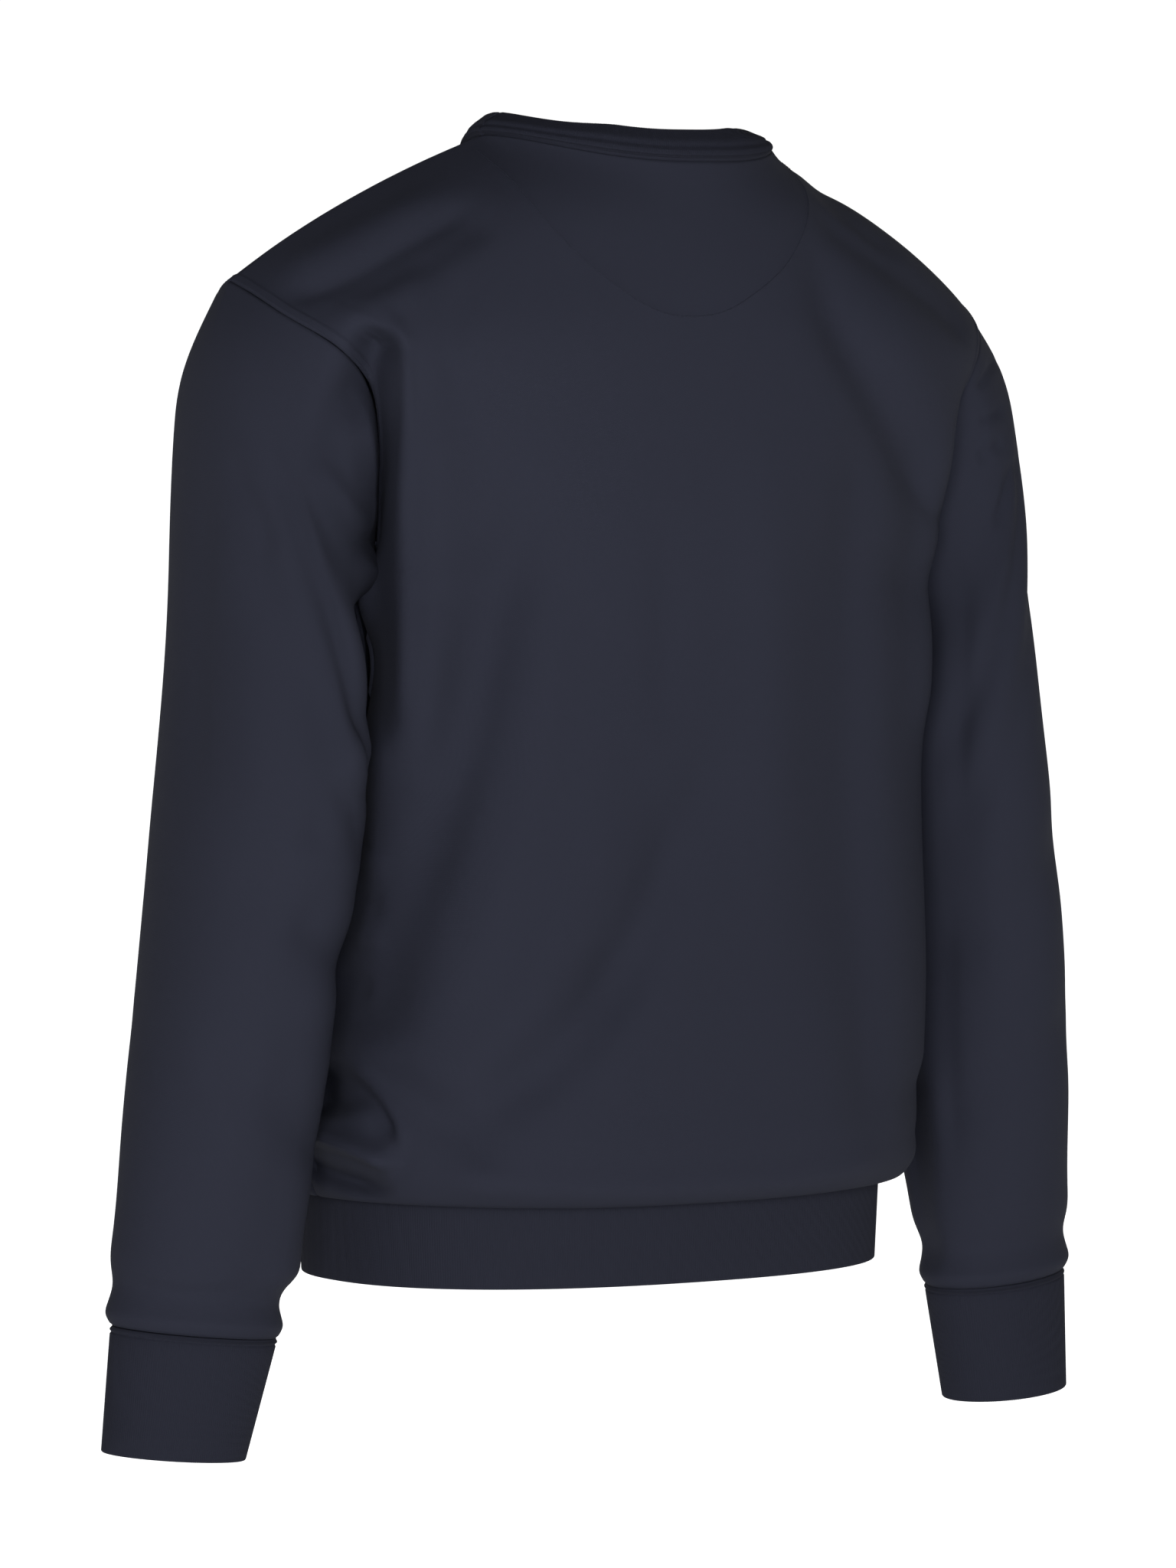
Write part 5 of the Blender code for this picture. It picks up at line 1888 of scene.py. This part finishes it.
@dataclass
class Studio:
    """Pale floor and backdrop, soft lights and the camera."""

    azimuth: float = 147.0
    distance: float = 6.0
    eye_z: float = -0.05
    focal_px: float = 12780.0
    image: tuple[int, int] = (1536, 2048)
    origin_px: tuple[float, float] = (805.0, 300.0)
    floor_z: float = -0.87
    floor_reach: float = 40.0
    floor_glow: float = 0.9
    sky: tuple[float, float] = (1.05, 0.15)    # strength at eye level and overhead
    sky_from: tuple[float, float] = (0.12, 0.60)   # share upwards between which it dims
    aim_z: float = -0.4

    def __post_init__(self) -> None:
        """Work out the camera's directions from its azimuth."""
        angle = math.radians(self.azimuth)
        self.right = Vector((math.cos(angle), math.sin(angle), 0.0))
        self.back = Vector((math.sin(angle), -math.cos(angle), 0.0))

    def camera(self) -> None:
        """Place the camera: it looks straight at the garment from the azimuth, moved sideways so that
        the origin falls on its own image column, and pitched to put the horizon on its row."""
        width, height = self.image
        shift = self.right * (-(self.origin_px[0] - width / 2) / self.focal_px * self.distance)
        pitch = math.atan((height / 2 - self.origin_px[1]) / self.focal_px)
        place = self.back * self.distance + Vector((0.0, 0.0, self.eye_z)) + shift
        aim = shift + Vector((0.0, 0.0, self.eye_z - self.distance * math.tan(pitch)))
        data = bpy.data.cameras.new("camera")
        data.sensor_width = 36.0
        data.lens = self.focal_px * data.sensor_width / height
        data.clip_end = 100.0
        item = bpy.data.objects.new("camera", data)
        item.location = place
        item.rotation_euler = (aim - place).to_track_quat("-Z", "Y").to_euler()
        bpy.context.scene.collection.objects.link(item)
        bpy.context.scene.camera = item

    def lamp(self, lamp: Lamp) -> None:
        """Add one area light that faces the garment's middle.

        Args:
            lamp: The light, whose place is right, back and up.
        """
        data = bpy.data.lights.new(lamp.name, "AREA")
        data.shape, data.size, data.energy, data.color = "SQUARE", lamp.side, lamp.power, lamp.colour
        item = bpy.data.objects.new(lamp.name, data)
        right, back, up = lamp.place
        item.location = self.right * right + self.back * back + Vector((0.0, 0.0, up))
        aim = Vector((0.0, 0.0, self.aim_z)) - item.location
        item.rotation_euler = aim.to_track_quat("-Z", "Y").to_euler()
        bpy.context.scene.collection.objects.link(item)

    def floor(self) -> None:
        """Pale floor: a flat square board of plain white paint, lit from inside as white as the
        backdrop."""
        half = self.floor_reach
        corners = np.array([(-half, -half), (half, -half), (half, half), (-half, half)])
        points = np.hstack([corners, np.full((4, 1), self.floor_z)])
        material = bpy.data.materials.new("pale_floor")
        material.use_nodes = True
        shader = material.node_tree.nodes["Principled BSDF"]
        shader.inputs["Roughness"].default_value = 0.95
        shader.inputs["Specular IOR Level"].default_value = 0.1
        shader.inputs["Emission Color"].default_value = (1.0, 1.0, 1.0, 1.0)
        shader.inputs["Emission Strength"].default_value = self.floor_glow
        tree = ShaderTree(material.node_tree)
        place = tree.add("ShaderNodeTexCoord")
        tone = tree.noise(place.outputs["Object"], 3.0, 1.0)
        paint = tree.mix(tone, (0.94, 0.94, 0.94, 1.0), (0.95, 0.95, 0.95, 1.0))
        tree.link(paint, shader.inputs["Base Color"])
        make_mesh("floor", points, np.array([[0, 1, 2, 3]]), corners, np.zeros(1), [material])

    def backdrop(self) -> None:
        """World light: white at and below eye level, and dimmer overhead, by the height of the
        direction."""
        world = bpy.data.worlds.new("studio")
        world.use_nodes = True
        tree = ShaderTree(world.node_tree)
        background = world.node_tree.nodes["Background"]
        place = tree.add("ShaderNodeTexCoord")
        split = tree.add("ShaderNodeSeparateXYZ")
        tree.link(place.outputs["Generated"], split.inputs[0])
        ramp = tree.add("ShaderNodeMapRange", interpolation_type="SMOOTHSTEP")
        for label, value in zip(("From Min", "From Max", "To Min", "To Max"), self.sky_from + self.sky):
            ramp.inputs[label].default_value = value
        tree.link(split.outputs["Z"], ramp.inputs["Value"])
        tree.link(ramp.outputs["Result"], background.inputs["Strength"])
        background.inputs["Color"].default_value = (1.0, 1.0, 1.0, 1.0)
        bpy.context.scene.world = world

    def build(self) -> None:
        """Set up the whole studio."""
        bpy.context.scene.view_settings.view_transform = "Standard"
        self.backdrop()
        self.floor()
        for lamp in STUDIO_LAMPS:
            self.lamp(lamp)
        self.camera()


def main() -> None:
    """Load the frame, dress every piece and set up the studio."""
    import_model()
    wardrobe = Wardrobe()
    body = BodyForm()
    body.dress(wardrobe)
    stitching = Stitching()
    trims = Trims(body, stitching)
    for side in Side:
        SleeveForm(body, side).dress(wardrobe)
        trims.dress_cuff(wardrobe, side)
    trims.dress_hem(wardrobe)
    trims.dress_neck(wardrobe)
    HalfMoon(body).dress(wardrobe)
    sew_body(body, stitching)
    stitching.dress(wardrobe)
    Studio().build()


if __name__ == "__main__":
    logging.basicConfig(level=logging.INFO, format="%(message)s")
    main()
